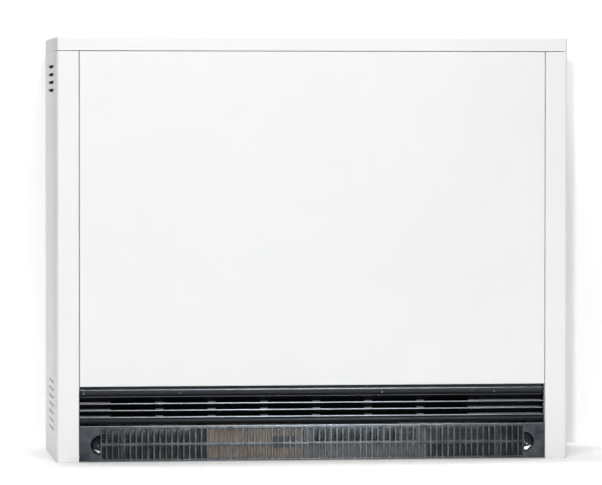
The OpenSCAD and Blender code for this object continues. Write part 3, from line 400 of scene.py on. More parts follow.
class Form:
    """The points and faces of one piece."""

    def __init__(self):
        self.points = []
        self.faces = []

    def add(self, points, faces):
        first = len(self.points)
        self.points += [tuple(p) for p in points]
        self.faces += [tuple(first + i for i in face) for face in faces]

    def prism(self, outline, start, end, place):
        """A closed outline carried from start to end."""
        n = len(outline)
        points = [place(u, v, w) for w in (start, end) for u, v in outline]
        sides = [(i, (i + 1) % n, n + (i + 1) % n, n + i) for i in range(n)]
        self.add(points, [tuple(range(n)), tuple(range(2 * n - 1, n - 1, -1))] + sides)

    def block(self, low, high):
        self.prism(rectangle(low[0], low[1], high[0], high[1]), low[2], high[2], upward())

    def grid(self, rows):
        """Quads between rows of as many points each."""
        n = len(rows[0])
        quads = [(r * n + c, r * n + c + 1, (r + 1) * n + c + 1, (r + 1) * n + c)
                 for r in range(len(rows) - 1) for c in range(n - 1)]
        self.add([p for row in rows for p in row], quads)

    def turned(self, profile, u, v, place, steps=64):
        """A closed profile of (distance along the axis, radius), turned about the axis at (u, v)."""
        turns = [2 * math.pi * i / steps for i in range(steps)]
        points = [place(u + r * math.cos(a), v + r * math.sin(a), w) for a in turns for w, r in profile]
        n = len(profile)
        pairs = [(i * n, (i + 1) % steps * n) for i in range(steps)]
        self.add(points, [(here + j, here + (j + 1) % n, there + (j + 1) % n, there + j)
                          for here, there in pairs for j in range(n)])

    def plate(self, outlines, depth, edge, place, start=0.0):
        """A flat plate, its outline first and then its holes, with edges eased by a small radius.

        The bevel would widen the plate by that radius, so the outlines are drawn in by as much.
        """
        curve = bpy.data.curves.new("outline", "CURVE")
        curve.dimensions = "2D"
        curve.fill_mode = "BOTH"
        curve.extrude = depth / 2 - edge
        curve.bevel_depth = edge
        curve.bevel_resolution = 2
        curve.offset = -edge
        for outline in outlines:
            spline = curve.splines.new("POLY")
            spline.points.add(len(outline) - 1)
            spline.use_cyclic_u = True
            for point, (u, v) in zip(spline.points, outline):
                point.co = (u, v, 0, 1)
        ob = bpy.data.objects.new("outline", curve)
        mesh = bpy.data.meshes.new_from_object(ob)
        points = [place(v.co.x, v.co.y, start + depth / 2 + v.co.z) for v in mesh.vertices]
        self.add(points, [tuple(p.vertices) for p in mesh.polygons])
        bpy.data.objects.remove(ob)
        bpy.data.meshes.remove(mesh)
        bpy.data.curves.remove(curve)

    def pan(self, low, high, open_side, radius, wall, steps=5):
        """A sheet pan: a box without one side, given as (axis, high end), with round edges."""
        axis, end = open_side
        bm = bmesh.new()
        bmesh.ops.create_cube(bm, size=1)
        for vert in bm.verts:
            vert.co = [low[i] if vert.co[i] < 0 else high[i] for i in range(3)]
        limit = high[axis] if end else low[axis]
        lid = [f for f in bm.faces if all(abs(v.co[axis] - limit) < WELD_GAP for v in f.verts)]
        bmesh.ops.delete(bm, geom=lid, context="FACES_ONLY")
        edges = [e for e in bm.edges if not e.is_boundary]
        bmesh.ops.bevel(bm, geom=edges, offset=radius, segments=steps, profile=0.5, affect="EDGES",
                        clamp_overlap=True)
        bmesh.ops.recalc_face_normals(bm, faces=bm.faces)
        bmesh.ops.solidify(bm, geom=bm.faces[:], thickness=wall)
        bm.verts.index_update()
        self.add([v.co for v in bm.verts], [[v.index for v in f.verts] for f in bm.faces])
        bm.free()

    def piece(self, name, body, slot, *nodes, angle=35, finish=None):
        """Makes the object, which rides on a body and stands for CAD nodes.

        Edges sharper than the angle stay sharp. The finish is the slot's own unless another is named.
        """
        mesh = bpy.data.meshes.new(name)
        mesh.from_pydata([[value * MM for value in p] for p in self.points], [], self.faces)
        bm = bmesh.new()
        bm.from_mesh(mesh)
        bmesh.ops.remove_doubles(bm, verts=bm.verts, dist=WELD_GAP * MM)
        bmesh.ops.recalc_face_normals(bm, faces=bm.faces)
        bm.to_mesh(mesh)
        bm.free()
        mesh.polygons.foreach_set("use_smooth", [True] * len(mesh.polygons))
        mesh.set_sharp_from_angle(angle=math.radians(angle))
        mesh.materials.append(finishes[finish or slot])
        ob = placed(name, mesh)
        shading = ob.modifiers.new("flat faces stay flat", "WEIGHTED_NORMAL")
        shading.keep_sharp = True
        shading.weight = 100
        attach(ob, body)
        if nodes:
            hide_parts(*nodes)


# Places that several pieces share: all sizes are in millimetres from here down to the stage

lid_low, lid_high = box_mm("top_cover")
panel_low, panel_high = box_mm("front_panel")
side_low, side_high = box_mm("right_side_panel")
outlet_low, outlet_high = box_mm("outlet_grille")
inlet_low, inlet_high = box_mm("inlet_grille")
bezel_low, bezel_high = box_mm("knob_bezel")

SHEET = 1.2
half_w = lid_high[0]
y_front = lid_low[1]
y_back = lid_high[1]
strip_x = side_low[0]
y_fold = panel_high[1]
panel_top = side_high[2]
knob_y = (bezel_low[1] + bezel_high[1]) / 2
knob_z = (bezel_low[2] + bezel_high[2]) / 2


# Casing

EDGE_R = 4.0
BEND_R = 1.2
ROUND_PAN = 60
FLANGE_W = 15.0
KNOB_HOLE_R = 23.1


def make_lid():
    """A shallow pan, open below."""
    form = Form()
    form.pan(lid_low, lid_high, (2, False), EDGE_R, SHEET)
    form.piece("lid", "casing", "white_enamel", "top_cover", angle=ROUND_PAN)


def make_front_panel():
    """A shallow pan, open at the back."""
    form = Form()
    form.pan(panel_low, panel_high, (1, True), BEND_R, SHEET, steps=3)
    form.piece("front_skin", "casing", "white_enamel", "front_panel", angle=ROUND_PAN)


UPPER_LOUVRES = 4
UPPER_LOUVRE_DROP = 20.0
LOWER_LOUVRES = 7
LOWER_LOUVRE_TOP = 118.0
LOUVRE_LEN = 113.0
LOUVRE_H = 4.9
LOUVRE_PITCH = 12.0
LOUVRE_DEPTH = 5.0
LOUVRE_TAPER = 26.0
LOUVRE_SETBACK = 64.0
SHELF_RISE = 0.1
DISH_RISE = 0.75


def louvre_stations(steps=7):
    """Places along a louvre and its opening's share there, which tapers off at both ends."""
    turns = [math.pi / 2 * i / steps for i in range(steps + 1)]
    near = [(LOUVRE_TAPER * (1 - math.cos(a)), math.sin(a)) for a in turns]
    return near + [(LOUVRE_LEN - d, share) for d, share in reversed(near)]


def louvre_heights(top, count):
    return [top - i * LOUVRE_PITCH for i in range(count)]


def louvre_outline(z_top):
    """The hole that a louvre leaves in the side: straight above, with a bowed lower edge."""
    y0 = y_front + LOUVRE_SETBACK
    return [(y0 + d, z_top - LOUVRE_H * share) for d, share in louvre_stations()]


def louvre_dish(form, z_top, side, reach, steps=7):
    """The pressed dish, which leads inwards from the lower edge and up by a share of the opening."""
    y0 = y_front + LOUVRE_SETBACK
    rows = []
    for j in range(steps + 1):
        rise = reach * j / steps
        depth = LOUVRE_DEPTH * (1 - math.cos(math.pi * j / steps)) / 2
        rows.append([(side * (half_w - depth * share), y0 + d, z_top - LOUVRE_H * share * (1 - rise))
                     for d, share in louvre_stations()])
    form.grid(rows)


def strip_section():
    """The sheet round the front corner, the front strip and its return, seen from above."""
    corner = (half_w - EDGE_R, y_front + EDGE_R)
    bend = (strip_x + BEND_R, y_front + BEND_R)
    inner_fold = strip_x + SHEET
    outer = arc(*corner, EDGE_R, 0, -90, 10) + arc(*bend, BEND_R, -90, -180, 4)
    inner = [(inner_fold, y_fold), (inner_fold, y_front + SHEET)]
    inner += arc(*corner, EDGE_R - SHEET, -90, 0, 10)
    return outer + [(strip_x, y_fold)] + inner


def inwards(side):
    """Outlines in Y and Z, with their depth running inwards from a side of the casing."""
    return lambda u, v, w: (side * (half_w - w), u, v)


def make_side(side, name, node, *knob_holes):
    """A side panel with its louvres, its front strip and its flange at the back."""
    form = Form()
    upper = louvre_heights(panel_top - UPPER_LOUVRE_DROP, UPPER_LOUVRES)
    lower = louvre_heights(LOWER_LOUVRE_TOP, LOWER_LOUVRES)
    outer = rectangle(y_front + EDGE_R, side_low[2], y_back, panel_top)
    louvres = [louvre_outline(z) for z in upper + lower]
    form.plate([outer, *louvres, *knob_holes], SHEET, 0, inwards(side))
    for z in upper:
        louvre_dish(form, z, side, SHELF_RISE)
    for z in lower:
        louvre_dish(form, z, side, DISH_RISE)
    form.prism(strip_section(), side_low[2], panel_top, upward(side))
    flange_y = y_back - 2 * SHEET
    flange = rectangle(half_w - FLANGE_W, flange_y, half_w - SHEET, flange_y + SHEET)
    form.prism(flange, side_low[2], panel_top, upward(side))
    form.piece(name, "casing", "white_enamel", node)


def make_sides():
    make_side(-1, "side_left", "left_side_panel")
    make_side(1, "side_right", "right_side_panel", ring(knob_y, knob_z, KNOB_HOLE_R))


# Air outlet

LIP_COUNT = 5
LIP_R = 0.9
LIP_TOP = 108.2
BLADE_LIP_DEPTH = 1.5
BLADE_PITCH = 10.35
BLADE_DEPTH = 17.0
BLADE_DROP = 8.8
BLADE_EDGE = 1.0
OUTLET_WALL = 1.2
RAIL_SET = 3.0
RAIL_BULGE = 0.7
RAIL_CURL = 30
RAIL_LIP_DEPTH = 7.0


def lip_heights():
    return [LIP_TOP - i * BLADE_PITCH for i in range(LIP_COUNT)]


def bowed_rail(low, high, y):
    """The outline of a strip of sheet that bows forward between two heights, in Y and Z."""
    half = (high - low) / 2
    middle = (high + low) / 2
    turn = 2 * math.atan(RAIL_BULGE / half)
    radius = half / math.sin(turn)
    degrees = math.degrees(turn)
    face = arc(y + radius - RAIL_BULGE, middle, radius, 180 + degrees, 180 - degrees, 8)
    return face + [(y + OUTLET_WALL, high), (y + OUTLET_WALL, low)]


def lip_outline(z, reach):
    """A rolled front edge that runs back to the given depth, in Y and Z."""
    y = outlet_low[1]
    return arc(y + LIP_R, z, LIP_R, 270, 90, 10) + [(y + reach, z + LIP_R), (y + reach, z - LIP_R)]


def curled_rail(low, high, y):
    """The outline of a strip of sheet, upright at its top, that curls back below, in Y and Z."""
    turn = math.radians(RAIL_CURL)
    radius = (high - low) / math.sin(turn)
    outer = arc(y + radius, high, radius, 180, 180 + RAIL_CURL, 8)
    inner = arc(y + radius, high, radius - OUTLET_WALL, 180 + RAIL_CURL, 180, 8)
    return outer + inner


def make_outlet_rail():
    """The upper rail, between the two upper lips."""
    form = Form()
    half = outlet_high[0] - OUTLET_WALL
    lips = lip_heights()
    form.prism(curled_rail(lips[1], lips[0], outlet_low[1] + RAIL_SET), -half, half, across())
    form.prism(lip_outline(lips[1], RAIL_LIP_DEPTH), -half, half, across())
    # painted light: the upper rail takes a lighter copy of the black sheet
    form.piece("outlet_rail", "casing", "black_sheet", "outlet_grille", finish="rail_painted_light")


def blade_outline(z):
    """A blade that slopes down from the lip at z to its back edge, in Y and Z."""
    y = outlet_low[1]
    end = (y + BLADE_DEPTH, z - BLADE_DROP)
    return [(y + LIP_R, z + LIP_R), (end[0], end[1] + BLADE_EDGE), end, (y + LIP_R, z - LIP_R)]


def end_wall_outline():
    """The wall at each end, cut away under each lip, in Y and Z."""
    y, back, low = outlet_low[1], outlet_high[1], outlet_low[2]
    depths = [RAIL_SET] + [BLADE_DEPTH] * (LIP_COUNT - 2) + [RAIL_SET]
    lips = lip_heights()
    edge = []
    for z, depth in zip(lips, depths):
        edge += [(y + LIP_R, z + LIP_R), (y + LIP_R, z - LIP_R), (y + depth, z - BLADE_DROP)]
    return edge + [(y + RAIL_SET, low), (back, low), (back, lips[0] + LIP_R)]


def make_outlet():
    """The lower rail, three blades, the floor and the end walls."""
    form = Form()
    half, low = outlet_high[0], outlet_low[2]
    rail_y = outlet_low[1] + RAIL_SET
    lips = lip_heights()
    for z in lips[1:-1]:
        form.prism(blade_outline(z), -half, half, across())
    form.prism(bowed_rail(low, lips[-1], rail_y), -half, half, across())
    floor = rectangle(rail_y, low, outlet_high[1], low + OUTLET_WALL)
    form.prism(floor, -half, half, across())
    for side in (-1, 1):
        form.prism(end_wall_outline(), half - OUTLET_WALL, half, across(side))
    form.piece("outlet_blades", "casing", "black_sheet", "outlet_grille")


def make_outlet_lips():
    """The other rolled edges, in a light metallic finish that stands in for their highlight lines."""
    form = Form()
    half = outlet_high[0]
    lips = lip_heights()
    for z in (lips[0], lips[-1]):
        form.prism(lip_outline(z, RAIL_SET + OUTLET_WALL), -half, half, across())
    for z in lips[2:-1]:
        form.prism(lip_outline(z, BLADE_LIP_DEPTH), -half, half, across())
    form.piece("outlet_lips", "casing", "black_sheet", finish="lip_painted_highlight")


def make_outlet_shade_strip():
    """A dark strip in the rubber finish on the baffle above the grille, a painted shadow for the gap
    under the panel.
    """
    low, high = box_mm("outlet_baffle")
    depth, edge, corner = 1.5, 0.4, 0.5
    end_gap, lip_gap, top_gap = 1.0, 1.2, 0.2
    strip = rectangle(low[0] + end_gap, LIP_TOP + lip_gap, high[0] - end_gap, high[2] - top_gap, corner)
    form = Form()
    form.plate([strip], depth, edge, in_front(low[1] - depth))
    form.piece("outlet_shade_strip", "casing", "rubber")


HEAD_R = 2.7
HEAD_H = 1.8
HEAD_EASE = 0.6
CROSS_REACH = 1.3
CROSS_HALF = 0.32
CROSS_DEPTH = 1.0
NECK_R = 2.0
SHANK_R = 1.7
OUTLET_SCREW_X = (-203.0, 106.0)
SIDE_SCREW_SHARES = (0.1, 0.36, 0.64, 0.9)
SIDE_SCREW_LEN = 5.4
LID_SCREW_X = 381.6


def cross(u, v, reach, half):
    """The outline of a cross recess."""
    corners = ((half, reach), (half, half), (reach, half))
    outline = []
    for i, j, way in ((-1, 1, 1), (-1, -1, -1), (1, -1, 1), (1, 1, -1)):
        outline += [(u + a * i, v + b * j) for a, b in corners[::way]]
    return outline


def pan_head(form, x, z, place, length):
    """A pan-head screw whose head stands on a seat at depth 0 and whose shank goes in below it."""
    head = [ring(x, z, HEAD_R, 32), cross(x, z, CROSS_REACH, CROSS_HALF)]
    form.plate(head, HEAD_H, HEAD_EASE, place, -HEAD_H)
    form.prism(ring(x, z, NECK_R, 24), CROSS_DEPTH - HEAD_H, 0, place)
    form.prism(ring(x, z, SHANK_R, 24), 0, length, place)


def make_outlet_screws():
    """Four screws along the upper rail of the outlet."""
    low, high = box_mm("outlet_screws")
    form = Form()
    z = (low[2] + high[2]) / 2
    seat = low[1] + HEAD_H
    for x in (low[0] + HEAD_R, *OUTLET_SCREW_X, high[0] - HEAD_R):
        pan_head(form, x, z, in_front(seat), high[1] - seat)
    # painted light: the screws take the upper rail's lighter copy of the black sheet
    form.piece("outlet_screw_heads", "casing", "black_sheet", "outlet_screws", finish="rail_painted_light")


def make_casing_screws():
    """Screws at the back: four up each side, and one at each end of the lid."""
    low, high = box_mm("casing_screws")
    form = Form()
    seat = high[1] - HEAD_H
    for side in (-1, 1):
        for share in SIDE_SCREW_SHARES:
            pan_head(form, side * (high[0] - HEAD_R), share * panel_top, behind(seat), SIDE_SCREW_LEN)
        pan_head(form, side * LID_SCREW_X, high[2] - HEAD_R, behind(seat), seat - low[1])
    form.piece("casing_screw_heads", "casing", "galvanised", "casing_screws")


# Air inlet

INLET_WALL = 2.5
INLET_EDGE = 0.2
INLET_LAP = 0.3
SLOT_W = 6.3
SLOT_R = 0.7
SLOT_PITCH = 9.0
SLOT_COUNT = 72
SLOT_MID_BAR = 3.6
SLOT_FOOT = 1.7
SLOT_HEADROOM = 5.0
BEAD_R = 1.1
BEAD_LAND = 0.6
BEAD_FOOT = 0.5
AXLE_R = 3.5
AXLE_Z = 6.5
AXLE_LEN = 10.0
RECESS_R = 14.7
RECESS_Z = 24.0
RECESS_GAP = 1.6
RECESS_DEPTH = 8.0
RECESS_STEPS = 28
# Bright crescents in the finger recesses, painted highlights
CRESCENT_R = 13.9
CRESCENT_W = 5.2
CRESCENT_TIP_W = 0.05
CRESCENT_START = -88
CRESCENT_SWEEP = 62
CRESCENT_STAND = 0.3

slot_field_half = (SLOT_COUNT * SLOT_PITCH - (SLOT_PITCH - SLOT_W)) / 2
recess_x = slot_field_half + RECESS_GAP
recess_z = inlet_low[2] + RECESS_Z


def inlet_slots():
    """The outlines of the two rows of slots."""
    first = inlet_low[2] + SLOT_FOOT
    height = (inlet_high[2] - SLOT_HEADROOM - first - SLOT_MID_BAR) / 2
    return [rectangle(x, z, x + SLOT_W, z + height, SLOT_R)
            for x in (i * SLOT_PITCH - slot_field_half for i in range(SLOT_COUNT))
            for z in (first, first + height + SLOT_MID_BAR)]


def finger_recess(form, side, y, steps=14):
    """A dish the shape of a quarter egg, open towards the front."""
    rows = []
    for j in range(steps + 1):
        turn = math.pi / 2 * j / steps
        outline = arc(recess_x, recess_z, RECESS_R * math.cos(turn), -90, 90, RECESS_STEPS)
        rows.append([(side * u, y + RECESS_DEPTH * math.sin(turn), v) for u, v in outline])
    form.grid(rows)


def make_inlet():
    """The slotted face with its finger recesses, the rim behind it and the barrels of its axle."""
    form = Form()
    y0, y1 = inlet_low[1], inlet_high[1]
    low, high, half = inlet_low[2], inlet_high[2], inlet_high[0]
    moon = arc(recess_x, recess_z, RECESS_R, -90, 90, RECESS_STEPS)
    moons = [[(side * x, z) for x, z in moon] for side in (-1, 1)]
    face = rectangle(-half, low, half, high - BEAD_R)
    form.plate([face] + inlet_slots() + moons, INLET_WALL, INLET_EDGE, in_front(y0))
    rim_y = y0 + INLET_WALL - INLET_LAP
    form.block((-half, rim_y, high - INLET_WALL), (half, y1, high))
    for side in (-1, 1):
        end_rim = rectangle(rim_y, low + AXLE_Z, y1, high)
        form.prism(end_rim, half - INLET_WALL, half, across(side))
        form.prism(ring(y0 + AXLE_R, low + AXLE_Z, AXLE_R), half - AXLE_LEN, half, across(side))
        finger_recess(form, side, y0 + INLET_EDGE)
    form.piece("inlet_face", "inlet_grille", "grey_plastic", "inlet_grille")


def highlight_crescent_rows(side, length_steps=12, width_steps=4):
    """A crescent that lies on the dish of a recess and narrows to its tip."""
    y = inlet_low[1] + INLET_EDGE - CRESCENT_STAND
    rows = []
    for i in range(length_steps + 1):
        share = i / length_steps
        angle = math.radians(CRESCENT_START + CRESCENT_SWEEP * share)
        width = CRESCENT_W * math.sqrt(1 - share ** 2) + CRESCENT_TIP_W
        radii = [CRESCENT_R - width * k / width_steps for k in range(width_steps + 1)]
        rows.append([(side * (recess_x + r * math.cos(angle)),
                      y + RECESS_DEPTH * math.sqrt(1 - (r / RECESS_R) ** 2),
                      recess_z + r * math.sin(angle)) for r in radii])
    return rows


def make_recess_highlights():
    """Bright steel crescents on the lower part of the finger recesses: painted highlights."""
    form = Form()
    for side in (-1, 1):
        form.grid(highlight_crescent_rows(side))
    form.piece("recess_highlights", "inlet_grille", "galvanised", finish="bright_steel")


def make_inlet_bead():
    """The rounded upper edge of the tilting grille, in a light metallic finish that stands in for its
    highlight line.
    """
    y0, half, top = inlet_low[1], inlet_high[0], inlet_high[2]
    y, z = y0 + BEAD_R, top - BEAD_R
    back, foot = y + BEAD_LAND, z - BEAD_FOOT
    outline = arc(y, z, BEAD_R, 180, 90, 8) + [(back, top), (back, foot), (y0, foot)]
    form = Form()
    form.prism(outline, -half, half, across())
    form.piece("inlet_bead", "inlet_grille", "grey_plastic", finish="bead_painted_highlight")


def net_threads(start, end, pitch, thread):
    """Where the threads of a net begin, evenly from one edge to the other."""
    count = int((end - start) / pitch)
    return [start + (end - start - thread) * i / count for i in range(count + 1)]


def make_filter_net():
    """Upright threads with level ones laid over them."""
    low, high = box_mm("filter_mesh")
    pitch, thread, depth = 2.4, 0.55, 0.2
    y = (low[1] + high[1]) / 2
    form = Form()
    for x in net_threads(low[0], high[0], pitch, thread):
        form.block((x, y, low[2]), (x + thread, y + depth, high[2]))
    for z in net_threads(low[2], high[2], pitch, thread):
        form.block((low[0], y - depth, z), (high[0], y, z + thread))
    form.piece("filter_net", "inlet_grille", "black_plastic", "filter_mesh", finish="net_fibre")


def make_guide_plate():
    """A zinc plate on a foot, solid below and pierced by a row of windows above."""
    low, high = box_mm("air_guide_plate")
    sheet, edge, margin = 1.0, 0.1, 2.5
    window_w, window_h, window_r, bar = 22.0, 21.0, 1.5, 5.0
    count = int((high[0] - low[0] - bar) / (window_w + bar))
    first = low[0] + (high[0] - low[0] - count * (window_w + bar) + bar) / 2
    top = high[2] - margin
    windows = [rectangle(x, top - window_h, x + window_w, top, window_r)
               for x in (first + i * (window_w + bar) for i in range(count))]
    form = Form()
    form.plate([rectangle(low[0], low[2], high[0], high[2])] + windows, sheet, edge, in_front(low[1]))
    form.block(low, (high[0], high[1], low[2] + sheet))
    form.piece("guide_plate", "casing", "galvanised", "air_guide_plate", finish="grey_sheet")


def make_board_terminal():
    """A terminal strip on the brown board, with screw wells above and below over a thin floor."""
    board_low, _ = box_mm("phenolic_board")
    y = board_low[1]
    left, right, foot, top = -58.0, -23.0, 18.0, 35.0
    depth, edge, corner = 3.0, 0.3, 1.5
    inset, floor, sink = 1.0, 0.4, 0.1
    count, pitch, gap = 4, 8.4, 1.5
    well_w, well_h, well_r = 5.5, 4.5, 0.8
    wells = [rectangle(x, z, x + well_w, z + well_h, well_r)
             for x in (left + gap + i * pitch for i in range(count))
             for z in (foot + gap, top - gap - well_h)]
    form = Form()
    form.plate([rectangle(left, foot, right, top, corner)] + wells, depth, edge, in_front(y - depth))
    form.block((left + inset, y - floor, foot + inset), (right - inset, y + sink, top - inset))
    form.piece("board_terminal", "casing", "grey_plastic", finish="slate_sheet")


# Charge knob

DIAL_FLOOR = 2.0
DIAL_FLANGE_W = 4.0
DIAL_FLANGE_T = 1.5
DIAL_WALL = 2.0
DIAL_EASE = 0.4
DIAL_BEND = 1.0
DIAL_BEND_CUT = 0.3
DIAL_BORE_R = 3.05
MARK_COUNT = 11
MARK_START = 225
MARK_STEP = 27
MARK_R = 17.4
MARK_LEN = 0.8
MARK_GROWTH = 0.16
MARK_HALF = 0.45
MARK_STAND = 0.15
KNOB_BORE_R = 3.02
SKIRT_FALL = 0.8
SKIRT_EASE = 0.2
SKIRT_EASE_W = 0.3
GRIP_INSET = 1.0
GRIP_HALF = 3.5
GRIP_EASE = 0.9
POINTER_HALF = 0.5
POINTER_START = 4.0
POINTER_INSET = 3.0
POINTER_SINK = 0.1
POINTER_STAND = 0.05

dial_x = bezel_low[0] + DIAL_FLOOR


def make_knob_ring():
    """The round cup in the hole of the side panel, with a flange that bears on the sheet inside."""
    flange_r = (bezel_high[1] - bezel_low[1]) / 2
    rim_r = flange_r - DIAL_FLANGE_W
    cup_r = rim_r - DIAL_WALL
    back, x_rim, sheet = bezel_low[0], bezel_high[0], half_w - SHEET
    flange = sheet - DIAL_FLANGE_T
    outside = [(back, DIAL_BORE_R), (back, rim_r), (flange, rim_r), (flange, flange_r),
               (sheet, flange_r), (sheet, rim_r)]
    rim = [(x_rim - DIAL_EASE, rim_r), (x_rim, rim_r - DIAL_EASE),
           (x_rim, cup_r + DIAL_EASE), (x_rim - DIAL_EASE, cup_r)]
    inside = [(dial_x + DIAL_BEND, cup_r), (dial_x + DIAL_BEND_CUT, cup_r - DIAL_BEND_CUT),
              (dial_x, cup_r - DIAL_BEND), (dial_x, DIAL_BORE_R)]
    form = Form()
    form.turned(outside + rim + inside, knob_y, knob_z, across())
    form.piece("knob_ring", "casing", "light_plastic", "knob_bezel")


def make_dial_marks():
    """Marks round the knob, each longer than the one before it."""
    form = Form()
    for i in range(MARK_COUNT):
        angle = math.radians(MARK_START - MARK_STEP * i)
        sine, cosine = math.sin(angle), math.cos(angle)
        end = MARK_R + MARK_LEN + i * MARK_GROWTH
        corners = rectangle(MARK_R, -MARK_HALF, end, MARK_HALF)
        outline = [(knob_y + r * cosine - t * sine, knob_z + r * sine + t * cosine) for r, t in corners]
        form.prism(outline, dial_x, dial_x + MARK_STAND, across())
    form.piece("dial_marks", "casing", "black_plastic")


def make_knob():
    """A round skirt under a grip with two flat sides, and the pointer line on the grip."""
    low, high = box_mm("charge_knob")
    y, z = knob_y, knob_z
    r = (high[2] - low[2]) / 2
    grip_r = r - GRIP_INSET
    x0, x1 = low[0], high[0]
    top = (x0 + x1) / 2
    shoulder = [(top - SKIRT_FALL, r), (top - SKIRT_EASE, r - SKIRT_EASE_W), (top, grip_r)]
    form = Form()
    form.turned([(x0, KNOB_BORE_R), (x0, r)] + shoulder + [(top, KNOB_BORE_R)], y, z, across())
    turn = math.degrees(math.acos(GRIP_HALF / grip_r))
    grip = arc(y, z, grip_r, turn, 180 - turn, 8) + arc(y, z, grip_r, 180 + turn, 360 - turn, 8)
    form.plate([grip], x1 - top, GRIP_EASE, across(), top)
    form.piece("knob_grip", "charge_knob", "grey_plastic", "charge_knob")

    line = Form()
    line.block((x1 - POINTER_SINK, y - POINTER_HALF, z + POINTER_START),
               (x1 + POINTER_STAND, y + POINTER_HALF, z + r - POINTER_INSET))
    line.piece("knob_pointer", "charge_knob", "light_plastic")


# Finishes of the CAD nodes that stay

OWN_FINISH = {
    # painted shade: the mixing flap, outlet duct, fan housings, duct tray and base pan take black and
    # slate finishes instead of their slots' own, standing in for the shade inside the casing
    "mixing_flap": "black_sheet",
    "outlet_duct": "black_sheet",
    "grille_catches": "black_sheet",
    "fan_housings": "black_sheet",
    "outlet_baffle": "grey_sheet",
    "duct_tray": "slate_sheet",
    "base_pan": "slate_sheet",
    "rear_wall": "rear_zinc",
}


def dress_nodes():
    """CAD nodes take the finish of their slot in the record, unless they have one of their own."""
    slot_of = {part["node"]: part["material_slot"] for part in frame["record"]["subparts"]}
    for name, ob in frame["nodes"].items():
        finish = OWN_FINISH.get(name, slot_of[name])
        for place in ob.material_slots:
            place.material = finishes[finish]


# Stage and lamps

STAGE_REACH = 5.0
WALL_TOP = 2.5
FLOOR_GAP = 0.0003
WALL_GAP = 0.001


def larger(tree, first, second):
    """The larger of two numbers."""
    node = tree.nodes.new("ShaderNodeMath")
    node.operation = "MAXIMUM"
    tree.links.new(first, node.inputs[0])
    tree.links.new(second, node.inputs[1])
    return node.outputs[0]


def seen_white(tree):
    """1 for the rays that should meet the white room: camera, glossy and transmitted ones."""
    path = tree.nodes.new("ShaderNodeLightPath")
    found = path.outputs["Is Camera Ray"]
    for ray in ("Is Glossy Ray", "Is Transmission Ray"):
        found = larger(tree, found, path.outputs[ray])
    return found


def stage_surface(name, fade, glow_level):
    """White paper that keeps shadows, fades into the white room and is clear from behind."""
    nodes = Nodes(name)
    new = nodes.tree.nodes.new
    grain = nodes.noise(scale=300, detail=2)
    base = nodes.blend(grain, (0.93, 0.93, 0.93), (0.96, 0.96, 0.96))
    paper = nodes.add("ShaderNodeBsdfDiffuse", Color=base)
    level = nodes.spread(seen_white(nodes.tree), 0.0, glow_level, start=0.0, end=1.0)
    glow = nodes.add("ShaderNodeEmission", Color=(1, 1, 1, 1), Strength=level)
    lit = new("ShaderNodeAddShader")
    nodes.set(lit.inputs[0], paper.outputs[0])
    nodes.set(lit.inputs[1], glow.outputs[0])
    distance = nodes.vector("LENGTH", output="Value", Vector=nodes.place)
    faded = nodes.spread(distance, 0.0, 1.0, *fade)
    clear = larger(nodes.tree, faded, new("ShaderNodeNewGeometry").outputs["Backfacing"])
    mix = new("ShaderNodeMixShader")
    nodes.set(mix.inputs[0], clear)
    nodes.set(mix.inputs[1], lit.outputs[0])
    nodes.set(mix.inputs[2], new("ShaderNodeBsdfTransparent").outputs[0])
    nodes.set(nodes.output.inputs["Surface"], mix.outputs[0])
    return nodes.material


def stage_plane(name, corners, material):
    mesh = bpy.data.meshes.new(name)
    mesh.from_pydata(corners, [], [(0, 1, 2, 3)])
    mesh.materials.append(material)
    ob = placed(name, mesh)
    return ob


def make_stage():
    """A floor just under the object, and a wall just behind it that only the camera sees."""
    reach = STAGE_REACH
    z = cad_low[2] - FLOOR_GAP
    floor = [(-reach, -reach, z), (reach, -reach, z), (reach, reach, z), (-reach, reach, z)]
    stage_plane("floor", floor, stage_surface("floor_paper", fade=(1.1, 3.2), glow_level=0.16))
    y = cad_high[1] + WALL_GAP
    corners = [(-reach, y, 0), (reach, y, 0), (reach, y, WALL_TOP), (-reach, y, WALL_TOP)]
    wall = stage_plane("wall", corners, stage_surface("wall_paper", fade=(1.1, 2.2), glow_level=0.2))
    wall.visible_diffuse = False
    wall.visible_glossy = False
    wall.visible_transmission = False
    wall.visible_shadow = False


def lamp(name, place, target, level, size, height=None):
    """A soft lamp that would light a white sheet at its target to the given level."""
    light = bpy.data.lights.new(name, "AREA")
    light.shape = "ELLIPSE" if height else "DISK"
    light.size = size
    if height:
        light.size_y = height
    gap = Vector(target) - Vector(place)
    light.energy = level * math.pi ** 2 * gap.length_squared
    ob = placed(name, light)
    ob.location = place
    ob.rotation_euler = gap.to_track_quat("-Z", "Y").to_euler()
    return ob


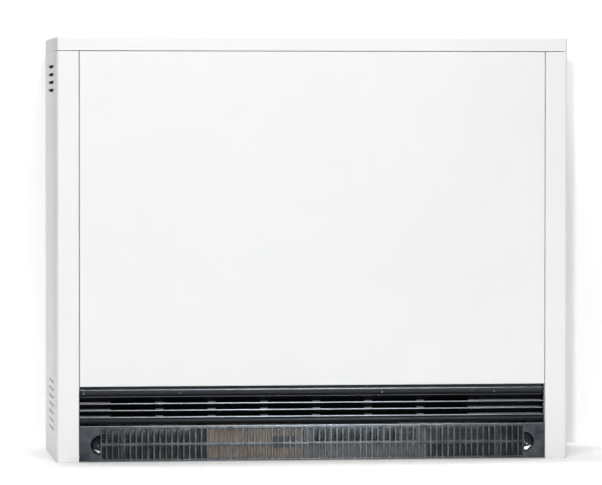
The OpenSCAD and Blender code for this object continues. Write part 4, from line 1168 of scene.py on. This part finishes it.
def make_lamps():
    """Soft studio lamps; the one called sheen only shows in glossy surfaces."""
    lamp("key", (-0.87, -5.2, 1.25), (0, 0, 0.35), level=0.32, size=0.2)
    sheen = lamp("sheen", (0.7, -5.2, 0.07), (0, -0.13, 0.06), level=0.38, size=0.3, height=0.1)
    sheen.visible_diffuse = False
    sheen.data.color = (0.84, 0.94, 1.0)
    lamp("high", (-0.1, -1.2, 1.9), (0, -0.13, 0.3), level=0.38, size=0.6)
    lamp("top", (-0.4, 0.54, 6.0), (0, -0.14, 0), level=0.32, size=1.0)
    lamp("left", (-0.75, 0.16, 0.42), (-0.39, 0.1, 0.42), level=0.56, size=0.15, height=1.1)
    lamp("back", (0.6, 2.4, 1.1), (0, 0.11, 0.35), level=0.22, size=0.7)
    lamp("right", (0.95, 0.13, 0.75), (0.39, 0.05, 0.35), level=0.35, size=0.3)


def make_world():
    """White for the camera and for reflections, and a soft grey light from all round."""
    world = bpy.data.worlds.new("room")
    bpy.context.scene.world = world
    world.use_nodes = True
    tree = world.node_tree
    tree.nodes.clear()
    output = tree.nodes.new("ShaderNodeOutputWorld")
    mix = tree.nodes.new("ShaderNodeMixShader")
    for socket, colour, strength in ((1, (0.97, 0.985, 1.0), 0.14), (2, (1.0, 1.0, 1.0), 1.0)):
        light = tree.nodes.new("ShaderNodeBackground")
        light.inputs["Color"].default_value = (*colour, 1)
        light.inputs["Strength"].default_value = strength
        tree.links.new(light.outputs[0], mix.inputs[socket])
    tree.links.new(seen_white(tree), mix.inputs[0])
    tree.links.new(mix.outputs[0], output.inputs["Surface"])


make_camera()
finishes = make_finishes()
dress_nodes()
make_lid()
make_front_panel()
make_sides()
make_outlet()
make_outlet_rail()
make_outlet_lips()
make_outlet_shade_strip()
make_outlet_screws()
make_casing_screws()
make_inlet()
make_recess_highlights()
make_inlet_bead()
make_filter_net()
make_guide_plate()
make_board_terminal()
make_knob_ring()
make_dial_marks()
make_knob()
make_stage()
make_lamps()
make_world()

scene = bpy.context.scene
scene.view_settings.view_transform = "Standard"
scene.view_settings.look = "None"
